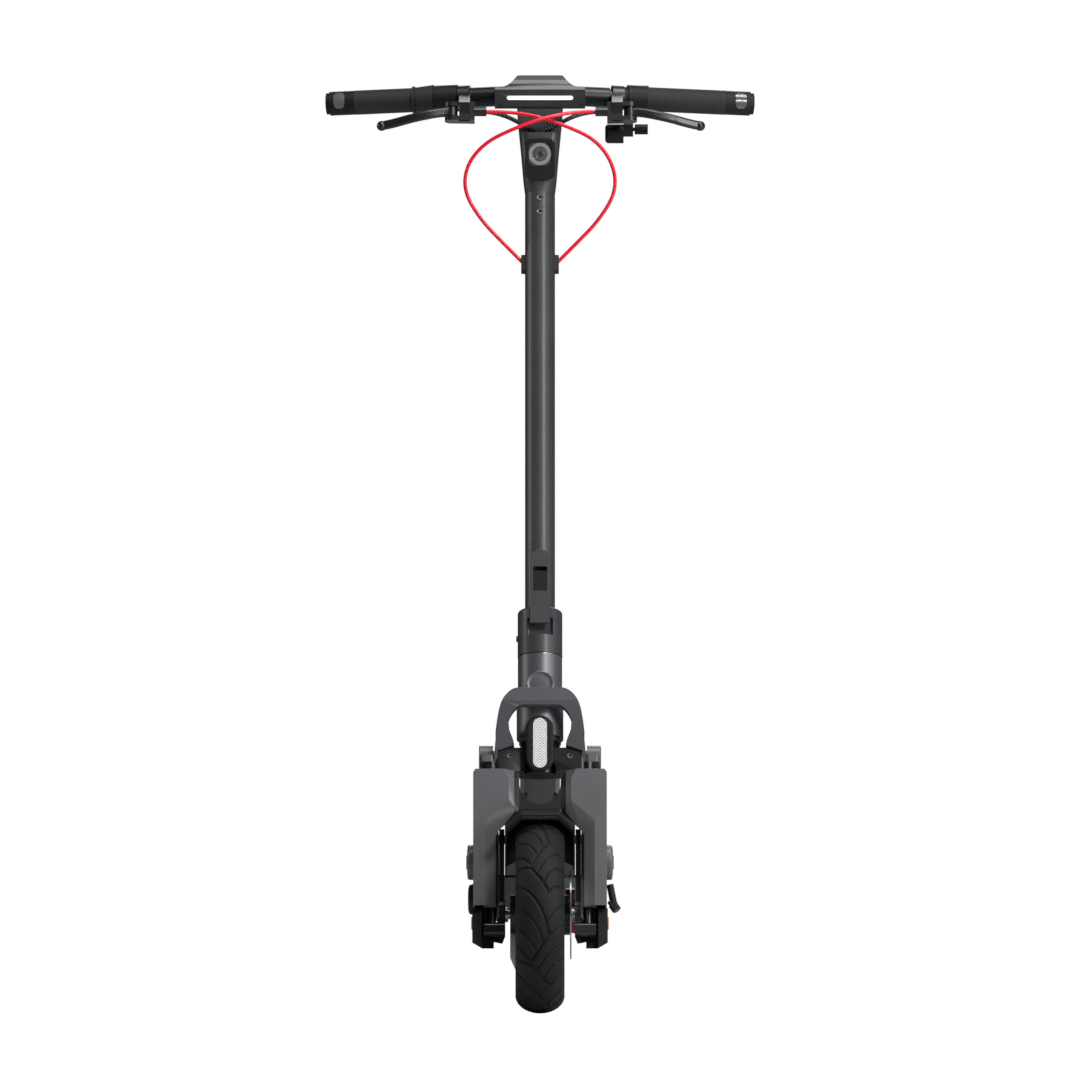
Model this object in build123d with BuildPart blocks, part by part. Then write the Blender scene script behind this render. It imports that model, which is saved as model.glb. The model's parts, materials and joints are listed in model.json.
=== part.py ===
from build123d import *
import math
import os

# Electric kick scooter, standing on its two wheels. Millimetres, +Z up, front towards -Y.
# The origin is on the floor, under the middle of the machine.

# Overall sizes
wheel_radius = 133.7
wheelbase = 900.0
tail_reach = 156.0
lean = 16.2

# Wheels
tyre_half_width = 33.3
tyre_flat = 9.0
crown_drop = 15.0
bead_radius = 82.5
rim_half_width = 25.0
rim_wall = 4.0
spoke_count = 5
hub_radius = 27.4
hub_half_width = 40.5
motor_cover_radius = 58.5
rotor_radius = 60.0
rotor_thickness = 2.0
disc_side = 33.0
axle_radius = 6.0
bearing_radius = 16.0
bearing_width = 9.0
carrier_inner = 47.0
carrier_outer = 55.4
running = 0.05
apart = 0.3

# Head tube, crown and fork, measured along the steering axis from the front axle
head_radius = 30.0
head_lower_radius = 31.7
head_bottom = 247.0
head_step = 290.0
head_top = 361.2
bearing_bore = 22.0
steerer_radius = 14.0
crown_top = 240.0
crown_plate_top = 229.6
crown_bottom = 196.6
crown_half_width = 61.0
crown_front = -22.0
crown_back = 16.0
barrel_radius = 16.0
barrel_chamfer = 1.5
barrel_shaft = 9.0
barrel_at = 222.1
barrel_inner = 63.5
barrel_outer = 82.8
leg_x = 73.15
leg_y = 6.0
stanchion_radius = 9.5
lower_radius = 13.6
damper_x = 65.7
damper_y = -16.0
damper_radius = 6.5
rod_radius = 4.0
leg_plate = 7.2

# Shrouds
shroud_wall = 2.6
shroud_outer = 90.6
shroud_inner = 56.0
shroud_front = -36.0
shroud_step = -26.0
shroud_back = 28.0
shroud_bottom = 3.4
shroud_top = 196.0
recess_radius = 27.9
recess_at = 177.6

# Fender
fender_gap = 6.0
fender_wall = 2.6
fender_half_width = 47.6
lip_turn = 66.8

# Folding joint
collar_radius = 30.3
collar_bottom = 362.7
fold_plane = 409.6
collar_top = 427.9
fold_pin_y = 33.0
fold_pin_radius = 3.5
knuckle_radius = 8.0
knuckle_half = 10.0
latch_half_width = 13.6
latch_pin_y = -30.0
latch_pin_at = 415.0

# Stem
stem_radius = 20.33
stem_wall = 2.5
stem_top = 1015.9
neck_top = 1139.0
grommet_at = 917.7
headlight_y = 262.0
notch_back = 294.0
screw_radius = 4.1

# Handlebar
bar_radius = 13.6
grip_bar_radius = 11.1
bar_wall = 2.5
bar_bend = 50.0
bar_step = 93.5
bar_end = 284.0
back_sweep = 9.0
bar_y = 318.0
bar_z = 1243.0
grip_radius = 16.5
pod_half_width = 61.3
pod_bottom = 1226.0

# Deck
deck_front = 262.0
deck_back = 742.0
deck_half_width = 84.0
deck_bottom = 130.0
deck_top = 184.0
deck_wall = 3.0
mat_thickness = 3.5
neck_half_width = 27.0
nose_front = 188.0
nose_width = 80.0
stand_y = 232.0
stand_z = 120.5
stand_pin = 4.0
stand_length = 112.0

# Controls on the bar
clamp_half = 7.8
clamp_radius = 17.0
left_lever_at = 119.5
right_lever_at = 122.0
lever_y = 276.0
lever_z = 1221.0
lever_hub = 8.0
lever_pin = 3.0
lever_height = 12.0
slot_gap = 1.0
housing_radius = 18.3
left_housing = 111.0
right_housing = 118.0
throttle_start = 143.3
throttle_end = 168.7
grip_end = 250.3
bar_cap_end = 288.7
bell_at = 115.5
bell_y = 318.0
bell_z = 1192.0
bell_radius = 13.0

# Latch
latch_bottom = 402.0
latch_top = 505.7
latch_front = -36.0
latch_window_low = 447.1
latch_window_high = 481.4

# Brake and harness cables
brake_cable_diameter = 5.0
harness_diameter = 6.0
adjuster_y = 272.0
adjuster_z = 1222.0
harness_y = 300.0
harness_z = 1222.0

total_length = wheel_radius + wheelbase + tail_reach
front_y = wheel_radius - total_length / 2
rear_y = front_y + wheelbase
sin_lean = math.sin(math.radians(lean))
cos_lean = math.cos(math.radians(lean))
axis_direction = Vector(0, sin_lean, cos_lean)
fender_radius = wheel_radius + fender_gap
rear_fender_outer = fender_radius + 10


def leaned_point(x, back, along):
    """A point given from the front axle: sideways, behind the steering axis, and along it."""
    return Vector(
        x,
        front_y + along * sin_lean + back * cos_lean,
        wheel_radius + along * cos_lean - back * sin_lean,
    )


def across(along):
    """A plane square to the steering axis; its x is sideways and its y is backwards."""
    return Plane(origin=leaned_point(0, 0, along), x_dir=(1, 0, 0), z_dir=axis_direction)


def leaned_side(x=0):
    """The side view in fork coordinates: x is backwards, y is along the steering axis."""
    return Plane(
        origin=leaned_point(x, 0, 0), x_dir=(0, cos_lean, -sin_lean), z_dir=(1, 0, 0)
    )


def leaned_front(back):
    """The front view in fork coordinates at one depth, facing forwards."""
    return Plane(
        origin=leaned_point(0, back, 0), x_dir=(1, 0, 0), z_dir=(0, -cos_lean, sin_lean)
    )


def along_at(height, back):
    """The place along the steering axis that has this height above the floor at this depth."""
    return (height - wheel_radius + back * sin_lean) / cos_lean


def side_view(x=0, y=0):
    """The plain side view: x is backwards from the front axle, y is the height."""
    return Plane(origin=(x, front_y + y, 0), x_dir=(0, 1, 0), z_dir=(1, 0, 0))


def front_view(y):
    """The plain front view at one distance behind the front axle, facing forwards."""
    return Plane(origin=(0, front_y + y, 0), x_dir=(1, 0, 0), z_dir=(0, -1, 0))


sweep_tan = math.tan(math.radians(back_sweep))
sweep_sin = math.sin(math.radians(back_sweep))
sweep_cos = math.cos(math.radians(back_sweep))


def bar_point(x):
    """The handlebar's centre at this distance to the side."""
    past = max(abs(x) - bar_bend, 0) * sweep_tan
    return Vector(x, front_y + bar_y + past * cos_lean, bar_z - past * sin_lean)


def bar_plane(x, side):
    """Square to the handlebar; its x is backwards, and its normal points to the bar's end."""
    return Plane(
        origin=bar_point(side * x),
        x_dir=(-side * sweep_sin, sweep_cos * cos_lean, -sweep_cos * sin_lean),
        z_dir=(side * sweep_cos, sweep_sin * cos_lean, -sweep_sin * sin_lean),
    )


def save(piece, label):
    piece.label = label
    export_step(piece, f"parts/{label}.step")


os.makedirs("parts", exist_ok=True)


# Wheels


def wheel_plane(y):
    """Through a wheel's axle: x is sideways, y is the distance from the axle."""
    return Plane(origin=(0, y, wheel_radius), x_dir=(1, 0, 0), z_dir=(0, -1, 0))


def axle_line(y):
    return Axis((0, y, wheel_radius), (1, 0, 0))


def disc_plane(x, y):
    """Square to the axle at one distance to the side; its x is backwards."""
    return Plane(origin=(x, y, wheel_radius), x_dir=(0, 1, 0), z_dir=(1, 0, 0))


def tyre(y):
    shoulder = wheel_radius - crown_drop
    inside = rim_half_width - 7
    with BuildPart() as made:
        with BuildSketch(wheel_plane(y)):
            with BuildLine():
                Line((0, wheel_radius), (tyre_flat, wheel_radius))
                RadiusArc((tyre_flat, wheel_radius), (tyre_half_width, shoulder), 44)
                Spline(
                    (tyre_half_width, shoulder),
                    (tyre_half_width - 1.2, shoulder - 14),
                    (rim_half_width, bead_radius),
                )
                Polyline(
                    (rim_half_width, bead_radius),
                    (inside, bead_radius),
                    (inside, bead_radius + 12),
                    (24, shoulder - 14),
                    (24, shoulder - 2),
                    (10, wheel_radius - 9),
                    (0, wheel_radius - 9),
                )
                Line((0, wheel_radius - 9), (0, wheel_radius))
            make_face()
            mirror(about=Plane.YZ)
        revolve(axis=axle_line(y))
    return made.part


def ring(y, x0, x1, inner, outer):
    """A plain ring on a wheel's axle."""
    with BuildPart() as made:
        with BuildSketch(disc_plane(x0, y)):
            Circle(outer)
            Circle(inner, mode=Mode.SUBTRACT)
        extrude(amount=x1 - x0)
    return made.part


def rotor(y):
    """A brake disc with a ring of round holes."""
    with BuildPart() as made:
        with BuildSketch(disc_plane(hub_half_width + 0.2, y)):
            Circle(rotor_radius)
            Circle(axle_radius + 6, mode=Mode.SUBTRACT)
            with PolarLocations(rotor_radius - 8, 12):
                Circle(2.5, mode=Mode.SUBTRACT)
            with PolarLocations(rotor_radius - 22, 6):
                Circle(8.5, mode=Mode.SUBTRACT)
        extrude(amount=rotor_thickness)
    return made.part


save(tyre(front_y), "front_tyre")
save(tyre(rear_y), "rear_tyre")

with BuildPart() as front_rim:
    with BuildSketch(wheel_plane(front_y)):
        with BuildLine():
            Polyline(
                (0, bead_radius - 0.05),
                (rim_half_width + 2, bead_radius - 0.05),
                (rim_half_width + 2, bead_radius - rim_wall),
                (0, bead_radius - rim_wall - 3),
                close=True,
            )
        make_face()
        mirror(about=Plane.YZ)
    revolve(axis=axle_line(front_y))
    with BuildSketch(disc_plane(-hub_half_width, front_y)):
        Circle(hub_radius)
    extrude(amount=2 * hub_half_width)
    with BuildSketch(disc_plane(0, front_y)):
        with PolarLocations((hub_radius + bead_radius) / 2 - 3, spoke_count):
            Rectangle(bead_radius - hub_radius, 20)
    extrude(amount=8, both=True)
    with BuildSketch(disc_plane(-hub_half_width, front_y)):
        Circle(axle_radius + 3)
    extrude(amount=2 * hub_half_width, mode=Mode.SUBTRACT)
    for start in (-hub_half_width, hub_half_width - bearing_width):
        with BuildSketch(disc_plane(start, front_y)):
            Circle(bearing_radius)
        extrude(amount=bearing_width, mode=Mode.SUBTRACT)
save(front_rim.part, "front_rim")

with BuildPart() as wheel_bearings:
    for start in (-hub_half_width, hub_half_width - bearing_width):
        add(ring(front_y, start + 0.2, start + bearing_width - 0.2, axle_radius + running, bearing_radius))
save(wheel_bearings.part, "wheel_bearings")

save(rotor(front_y), "front_rotor")
save(rotor(rear_y), "rear_rotor")

# The rear wheel is the motor: its rim and covers turn on a fixed axle
with BuildPart() as motor_hub:
    with BuildSketch(wheel_plane(rear_y)):
        with BuildLine():
            Polyline(
                (0, bead_radius - 0.05),
                (rim_half_width + 5, bead_radius - 0.05),
                (hub_half_width, motor_cover_radius),
                (hub_half_width, axle_radius + running),
                (0, axle_radius + running),
                close=True,
            )
        make_face()
        mirror(about=Plane.YZ)
    revolve(axis=axle_line(rear_y))
    with BuildSketch(disc_plane(disc_side, rear_y)):
        Circle(bead_radius + 2)
        Circle(22, mode=Mode.SUBTRACT)
    extrude(amount=hub_half_width - disc_side + 1, mode=Mode.SUBTRACT)
save(motor_hub.part, "motor_hub")


def axle(y, reach, nuts, label):
    """An axle with a spacer against each side of the hub and, at the back, a nut outside each arm."""
    spacer = hub_half_width + rotor_thickness + 0.6
    with BuildPart() as made:
        with BuildSketch(disc_plane(-reach, y)):
            Circle(axle_radius)
        extrude(amount=2 * reach)
        for side in (-1, 1):
            with BuildSketch(disc_plane(side * spacer, y)):
                Circle(axle_radius + 4)
            extrude(amount=side * (carrier_inner - spacer))
            if nuts:
                with BuildSketch(disc_plane(side * carrier_outer, y)):
                    RegularPolygon(10, 6)
                extrude(amount=side * (reach - carrier_outer))
    save(made.part, label)


axle(front_y, carrier_outer, False, "front_axle")
axle(rear_y, carrier_outer + 9, True, "rear_axle")

# Main frame: head tube, hollow neck and the nose that carries the deck

neck_outline = [
    leaned_point(0, 8, 345),
    Vector(0, front_y + 172, 432),
    Vector(0, front_y + 262, 268),
    Vector(0, front_y + 300, deck_top),
    Vector(0, front_y + nose_front, deck_top),
    Vector(0, front_y + 206, 240),
    leaned_point(0, 116, 246.5),
    leaned_point(0, 8, 262),
]
neck_points = [(p.Y - front_y, p.Z) for p in neck_outline]

with BuildPart() as main_frame:
    with BuildSketch(side_view()):
        with BuildLine():
            Polyline(*neck_points, close=True)
        make_face()
        fillet(vertices().sort_by(Axis.Y)[3:6], 30)
    extrude(amount=neck_half_width, both=True)
    fillet(edges().filter_by(GeomType.LINE).filter_by(Axis.X, reverse=True).group_by(Axis.X)[-1], 7)
    fillet(edges().filter_by(GeomType.LINE).filter_by(Axis.X, reverse=True).group_by(Axis.X)[0], 7)
    with BuildSketch(side_view()):
        with BuildLine():
            Polyline(*neck_points, close=True)
        make_face()
        offset(amount=-8, mode=Mode.REPLACE)
    extrude(amount=neck_half_width - 6, both=True, mode=Mode.SUBTRACT)
    with BuildSketch(Plane.XY.offset(deck_bottom)):
        with Locations((0, front_y + (nose_front + deck_front) / 2)):
            Rectangle(2 * nose_width, deck_front - nose_front)
    extrude(amount=deck_top - deck_bottom)
    fillet(edges().filter_by(Axis.Z).group_by(Axis.Y)[0], 25)
    with BuildSketch(Plane.XY.offset(deck_bottom)):
        with Locations((0, front_y + (nose_front + deck_front) / 2 + 8)):
            RectangleRounded(2 * nose_width - 16, deck_front - nose_front - 8, 12)
    extrude(amount=deck_top - deck_bottom - 6, mode=Mode.SUBTRACT)
    with BuildSketch(side_view(nose_width - 8)):
        with BuildLine():
            Polyline(
                (stand_y - 14, deck_bottom), (stand_y - 8, stand_z), (stand_y + 8, stand_z),
                (stand_y + 14, deck_bottom), close=True,
            )
        make_face()
        with Locations((stand_y, stand_z)):
            Circle(8)
    extrude(amount=8)
    with BuildSketch(side_view(nose_width - 8)):
        with Locations((stand_y, stand_z)):
            Circle(stand_pin)
    extrude(amount=-16)
    with BuildSketch(across(head_bottom)):
        Circle(head_lower_radius)
    extrude(amount=head_step - head_bottom)
    with BuildSketch(across(head_step)):
        Circle(head_radius)
    extrude(amount=head_top - head_step)
    with BuildSketch(across(head_bottom)):
        Circle(bearing_bore)
    extrude(amount=head_top - head_bottom, mode=Mode.SUBTRACT)
save(main_frame.part, "main_frame")

# Headset bearings: one at each end of the head tube, each with a dark cover ring
with BuildPart() as headset_bearings:
    for start, cover_start, cover_end in (
        (head_bottom, crown_top + apart, head_bottom),
        (head_top - 11, head_top, collar_bottom - apart),
    ):
        with BuildSketch(across(start)):
            Circle(bearing_bore)
            Circle(steerer_radius + running, mode=Mode.SUBTRACT)
        extrude(amount=11)
        with BuildSketch(across(cover_start)):
            Circle(head_radius - 1.5)
            Circle(steerer_radius + running, mode=Mode.SUBTRACT)
        extrude(amount=cover_end - cover_start)
save(headset_bearings.part, "headset_bearings")

# Deck
with BuildPart() as deck_shell:
    with BuildSketch(front_view(deck_front)):
        with BuildLine():
            Polyline(
                (deck_half_width - 6, deck_top),
                (deck_half_width, deck_top - 8),
                (deck_half_width, deck_bottom + 12),
                (deck_half_width - 8, deck_bottom),
                (deck_half_width - 12, deck_bottom),
                (deck_half_width - 12, deck_bottom + deck_wall),
                (deck_half_width - deck_wall, deck_bottom + 13),
                (deck_half_width - deck_wall, deck_top - 9),
                (deck_half_width - 7, deck_top - deck_wall),
                (0, deck_top - deck_wall),
                (0, deck_top),
                close=True,
            )
        make_face()
        mirror(about=Plane.YZ)
    extrude(amount=-(deck_back - deck_front))
    with Locations((deck_half_width, front_y + deck_back - 60, deck_bottom + 27)):
        Cylinder(9, 30, rotation=(0, 90, 0), mode=Mode.SUBTRACT)
save(deck_shell.part, "deck_shell")

with BuildPart() as deck_mat:
    with BuildSketch(Plane.XY.offset(deck_top)):
        with Locations((0, front_y + (deck_front + deck_back) / 2 + 20)):
            RectangleRounded(2 * deck_half_width - 20, deck_back - deck_front - 50, 14)
    extrude(amount=mat_thickness)
save(deck_mat.part, "deck_mat")

with BuildPart() as bottom_cover:
    with BuildSketch(Plane.XY.offset(deck_bottom - 0.2)):
        with Locations((0, front_y + (deck_front + deck_back) / 2)):
            Rectangle(2 * (deck_half_width - 12.2), deck_back - deck_front - 0.4)
    extrude(amount=deck_wall + 2)
save(bottom_cover.part, "bottom_cover")

with BuildPart() as battery_pack:
    with BuildSketch(Plane.XY.offset(deck_bottom + deck_wall + 2.3)):
        with Locations((0, front_y + (deck_front + deck_back) / 2 + 10)):
            RectangleRounded(136, deck_back - deck_front - 90, 6)
    extrude(amount=deck_top - deck_bottom - 2 * deck_wall - 2.8)
save(battery_pack.part, "battery_pack")

with BuildPart() as motor_controller:
    with BuildSketch(Plane.XY.offset(deck_bottom + 10)):
        with Locations((0, front_y + deck_front - 34)):
            Rectangle(110, 52)
    extrude(amount=deck_top - deck_bottom - 16.3)
    with BuildSketch(Plane.XY.offset(deck_bottom + 10)):
        with GridLocations(10, 1, 10, 1):
            with Locations((0, front_y + deck_front - 34)):
                Rectangle(4, 52)
    extrude(amount=4, mode=Mode.SUBTRACT)
save(motor_controller.part, "motor_controller")

# Tail: the raised footrest behind the deck and the two arms that hold the rear axle
with BuildPart() as tail_frame:
    with BuildSketch(side_view()):
        with BuildLine():
            Polyline(
                (deck_back, deck_bottom),
                (deck_back, deck_top),
                (deck_back + 4, 224),
                (deck_back + 9, 228),
                (deck_back + 15, 224),
                (deck_back + 9, deck_top),
                (deck_back + 9, deck_bottom),
                close=True,
            )
        make_face()
    extrude(amount=46, both=True)
    with BuildSketch(Plane.XY.offset(deck_bottom)):
        with Locations((0, front_y + deck_back + 4.5)):
            Rectangle(2 * deck_half_width - 8, 9)
    extrude(amount=deck_top - deck_bottom)
    for side in (-1, 1):
        with BuildSketch(side_view(side * carrier_inner)):
            with BuildLine():
                Polyline(
                    (deck_back + 5, deck_bottom + 6),
                    (deck_back + 5, deck_top - 4),
                    (wheelbase - 60, wheel_radius + 30),
                    (wheelbase, wheel_radius + 22),
                    (wheelbase + 22, wheel_radius),
                    (wheelbase, wheel_radius - 22),
                    close=True,
                )
            make_face()
            with Locations((wheelbase, wheel_radius)):
                Circle(22)
                Circle(axle_radius, mode=Mode.SUBTRACT)
        extrude(amount=side * (carrier_outer - carrier_inner))
save(tail_frame.part, "tail_frame")

# Rear fender, held over the wheel by a stay on each arm, with the tail light at its end


def fender_arc(y, outer, side_drop, start, sweep):
    """A bent sheet over a wheel: flat on top, sloping sides. Angles start at the front, upwards."""
    turn = math.radians(start)
    plane = Plane(
        origin=(0, y, wheel_radius), x_dir=(1, 0, 0), z_dir=(0, -math.sin(turn), -math.cos(turn))
    )
    with BuildPart() as made:
        with BuildSketch(plane):
            with BuildLine():
                Polyline(
                    (0, outer - fender_wall),
                    (24, outer - fender_wall),
                    (fender_half_width - fender_wall, outer - side_drop),
                    (fender_half_width - fender_wall, outer - side_drop - 10),
                    (fender_half_width, outer - side_drop - 10),
                    (fender_half_width, outer - side_drop + 1),
                    (26, outer),
                    (0, outer),
                    close=True,
                )
            make_face()
            mirror(about=Plane.YZ)
        revolve(axis=Axis((0, y, wheel_radius), (-1, 0, 0)), revolution_arc=sweep)
    return made.part


with BuildPart() as rear_fender:
    add(fender_arc(rear_y, rear_fender_outer, 24, 58, 98))
    for side in (-1, 1):
        with BuildSketch(side_view(side * (carrier_outer + 0.05))):
            with BuildLine():
                Polyline(
                    (wheelbase + 2, wheel_radius - 12),
                    (wheelbase + 13, wheel_radius - 6),
                    (wheelbase + 78, wheel_radius + 101),
                    (wheelbase + 66, wheel_radius + 109),
                    (wheelbase - 12, wheel_radius + 4),
                    (wheelbase - 9, wheel_radius - 9),
                    close=True,
                )
            make_face()
            with Locations((wheelbase, wheel_radius)):
                Circle(15)
                Circle(10.6, mode=Mode.SUBTRACT)
        extrude(amount=side * fender_wall)
        with BuildSketch(side_view(side * (fender_half_width - 1))):
            with Locations((wheelbase + 70, wheel_radius + 102)):
                Circle(6)
        extrude(amount=side * (carrier_outer + fender_wall - fender_half_width + 1))
save(rear_fender.part, "rear_fender")

with BuildPart() as tail_light:
    with BuildSketch(front_view(wheelbase + tail_reach)):
        with Locations((0, wheel_radius + 62)):
            RectangleRounded(40, 26, 8)
    extrude(amount=1)
    with BuildSketch(front_view(wheelbase + tail_reach - 1)):
        with Locations((0, wheel_radius + 62)):
            RectangleRounded(44, 30, 9)
    extrude(amount=tail_reach, mode=Mode.ADD)
    with BuildSketch(disc_plane(-40, rear_y)):
        Circle(rear_fender_outer + 0.05)
    extrude(amount=80, mode=Mode.SUBTRACT)
save(tail_light.part, "tail_light")

# Fork: steerer, crown, barrels, stanchions and damper bodies, all carried by the steering axis
with BuildPart() as fork:
    with BuildSketch(across(crown_bottom)):
        with Locations((0, (crown_front + crown_back) / 2)):
            RectangleRounded(2 * crown_half_width, crown_back - crown_front, 5)
    extrude(amount=crown_plate_top - crown_bottom)
    with BuildSketch(leaned_front(crown_front + 14)):
        with Locations((0, crown_bottom)):
            Circle(22)
    extrude(amount=20, mode=Mode.SUBTRACT)
    with BuildSketch(across(crown_bottom)):
        Circle(20)
    with BuildSketch(across(crown_top)):
        Circle(27)
    loft()
    with BuildSketch(across(crown_bottom)):
        Circle(steerer_radius)
    extrude(amount=collar_bottom + 12 - crown_bottom)
    for side in (-1, 1):
        with BuildSketch(leaned_side(side * (crown_half_width - 1))):
            with Locations((0, barrel_at)):
                Circle(barrel_shaft)
        extrude(amount=side * (barrel_inner - crown_half_width + 1))
        with BuildSketch(leaned_side(side * barrel_inner)):
            with Locations((0, barrel_at)):
                Circle(barrel_radius)
        extrude(amount=side * (barrel_outer - barrel_chamfer - barrel_inner))
        with BuildSketch(leaned_side(side * (barrel_outer - barrel_chamfer))):
            with Locations((0, barrel_at)):
                Circle(barrel_radius)
        extrude(amount=side * barrel_chamfer, taper=45)
        with BuildSketch(across(barrel_at)):
            with Locations((side * leg_x, leg_y)):
                Circle(stanchion_radius)
        extrude(amount=70 - barrel_at)
        with BuildSketch(across(barrel_at - 12)):
            with Locations((side * damper_x, damper_y)):
                Circle(damper_radius)
        extrude(amount=90 - barrel_at)
        with BuildSketch(across(barrel_at - 12)):
            with Locations((side * (leg_x - 2), -10)):
                RectangleRounded(17, 24, 4)
        extrude(amount=10)
        with BuildSketch(across(barrel_at - 12 + 90 - barrel_at)):
            with Locations((side * damper_x, damper_y)):
                Circle(rod_radius + running)
        extrude(amount=100, mode=Mode.SUBTRACT)
save(fork.part, "fork")

with BuildPart() as guard_arch:
    with BuildSketch(leaned_front(0)):
        with BuildLine():
            outer_side = Spline(
                (25, 306.8), (38, 304), (46, 297), (54.9, 279.5), (60.3, 247.8), (63.4, 206),
                tangents=[(1, 0), (0.1, -1)],
            )
            Line((0, 306.8), (25, 306.8))
            Line(outer_side @ 1, (57, 206))
            Polyline((57, 206), (57, 225), (35, 232), (36.3, 238), (41.6, 251), (42.8, 264))
            inner_side = Spline((42.8, 264), (36, 276), (22, 283), tangents=[(-0.3, 1), (-1, 0)])
            Polyline(inner_side @ 1, (0, 283), (0, 306.8))
        make_face()
        mirror(about=Plane.YZ)
    extrude(amount=60, both=True)
    with BuildSketch(leaned_side(-70)):
        with BuildLine():
            Polyline(
                (-50, 310), (-34.5, 310), (-34.5, 286), (-22, 262), (8, 240), (12, 206),
                (-18, 206), (-30, 236), (-50, 288), close=True,
            )
        make_face()
    extrude(amount=140, mode=Mode.INTERSECT)
    add(fork.part, mode=Mode.SUBTRACT)
save(guard_arch.part, "guard_arch")

# Front reflector in its long round-ended frame, screwed to the crown
reflector_bottom = along_at(332.7, -40)
reflector_top = along_at(400.0, -40)
reflector_middle = (reflector_bottom + reflector_top) / 2
frame_back = -head_lower_radius - 1.5
with BuildPart() as front_reflector:
    with BuildSketch(leaned_front(frame_back - 6)):
        with Locations((0, reflector_middle)):
            SlotOverall(reflector_top - reflector_bottom, 18.8, rotation=90)
    extrude(amount=3)
save(front_reflector.part, "front_reflector")

with BuildPart() as reflector_frame:
    with BuildSketch(leaned_front(frame_back)):
        with Locations((0, reflector_middle)):
            SlotOverall(reflector_top - reflector_bottom + 9, 37, rotation=90)
    extrude(amount=8)
    fillet(faces().sort_by(Axis.Y)[0].edges(), 3)
    with BuildSketch(leaned_front(crown_front)):
        with Locations((0, crown_plate_top - 10)):
            Rectangle(26, 14)
    extrude(amount=crown_front - frame_back)
    add(fork.part, mode=Mode.SUBTRACT)
    add(front_reflector.part, mode=Mode.SUBTRACT)
    with BuildSketch(leaned_front(frame_back - 6)):
        with Locations((0, reflector_middle)):
            SlotOverall(reflector_top - reflector_bottom, 18.8, rotation=90)
    extrude(amount=6, mode=Mode.SUBTRACT)
save(reflector_frame.part, "reflector_frame")

# Fork lowers: a tube round each stanchion, a foot, and the plate that holds the axle
with BuildPart() as fork_lowers:
    foot_low = 88.0
    with BuildSketch(across(-20)):
        with Locations((leg_x, leg_y)):
            Circle(lower_radius)
    extrude(amount=192)
    with BuildSketch(leaned_side(62.5)):
        with BuildLine():
            Polyline((-6, 3), (24, 3), (24, -60), (-6, -60), close=True)
        make_face()
    extrude(amount=29.4)
    with BuildSketch(leaned_side(79)):
        with BuildLine():
            Polyline((-22, 3), (24, 3), (24, -60), (-22, -60), close=True)
        make_face()
    extrude(amount=12.9)
    with BuildSketch(leaned_side(carrier_inner)):
        with BuildLine():
            Polyline((-14, 10), (-6, 20), (10, 20), (18, 10), (20, -44), (-14, -44), close=True)
        make_face()
        Circle(15)
    extrude(amount=carrier_outer - carrier_inner)
    with BuildSketch(leaned_side(carrier_outer - leg_plate)):
        with BuildLine():
            Polyline((-10, 8), (-10, 118), (16, 118), (16, 8), close=True)
        make_face()
    extrude(amount=leg_plate)
    with BuildSketch(leaned_side(carrier_inner)):
        with BuildLine():
            Polyline((-6, -12), (20, -12), (20, -44), (-6, -44), close=True)
        make_face()
    extrude(amount=17)
    with BuildSketch(Plane.XZ.offset(-front_y - 200)):
        with BuildLine():
            Polyline(
                (carrier_inner - 1, 107),
                (51, 94.3),
                (62.5, 96.6),
                (62.5, foot_low),
                (78.3, foot_low),
                (91.9, 96),
                (91.9, 400),
                (carrier_inner - 1, 400),
                close=True,
            )
        make_face()
    extrude(amount=400, mode=Mode.INTERSECT)
    with BuildSketch(across(60)):
        with Locations((leg_x, leg_y)):
            Circle(stanchion_radius + running)
    extrude(amount=200, mode=Mode.SUBTRACT)
    with BuildSketch(across(60)):
        with Locations((leg_x, leg_y)):
            Circle(stanchion_radius + running)
    extrude(amount=-25, mode=Mode.SUBTRACT)
    with BuildSketch(disc_plane(0, front_y)):
        Circle(axle_radius)
    extrude(amount=carrier_outer, mode=Mode.SUBTRACT)
    mirror(about=Plane.YZ)
save(fork_lowers.part, "fork_lowers")

# Damper rods, each with its lower eye bolted to the axle plate
eye_at = along_at(112.0, damper_y)
with BuildPart() as damper_rods:
    for side in (-1, 1):
        with BuildSketch(leaned_side(side * carrier_inner)):
            with Locations((damper_y - 3.5, eye_at)):
                RectangleRounded(17, 16, 4)
        extrude(amount=side * 29)
        with BuildSketch(across(eye_at)):
            with Locations((side * damper_x, damper_y)):
                Circle(rod_radius)
        extrude(amount=150 - eye_at)
    add(fork_lowers.part, mode=Mode.SUBTRACT)
save(damper_rods.part, "damper_rods")

# Fork shrouds: each is one moulding with its half of the cover over the tyre


def shroud_outline(inner, shoulder, step_low, step_high, edge, inset):
    """The front outline of a shroud, from the bottom outer corner round to the top."""
    return [
        (shroud_outer - inset, shroud_bottom),
        (inner, shroud_bottom),
        (inner, step_low),
        (edge, step_high),
        (edge, shoulder),
        (edge + 7, shroud_top - inset),
        (shroud_outer - 3, shroud_top - inset),
        (shroud_outer - inset, shroud_top - 5 - inset),
    ]


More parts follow.
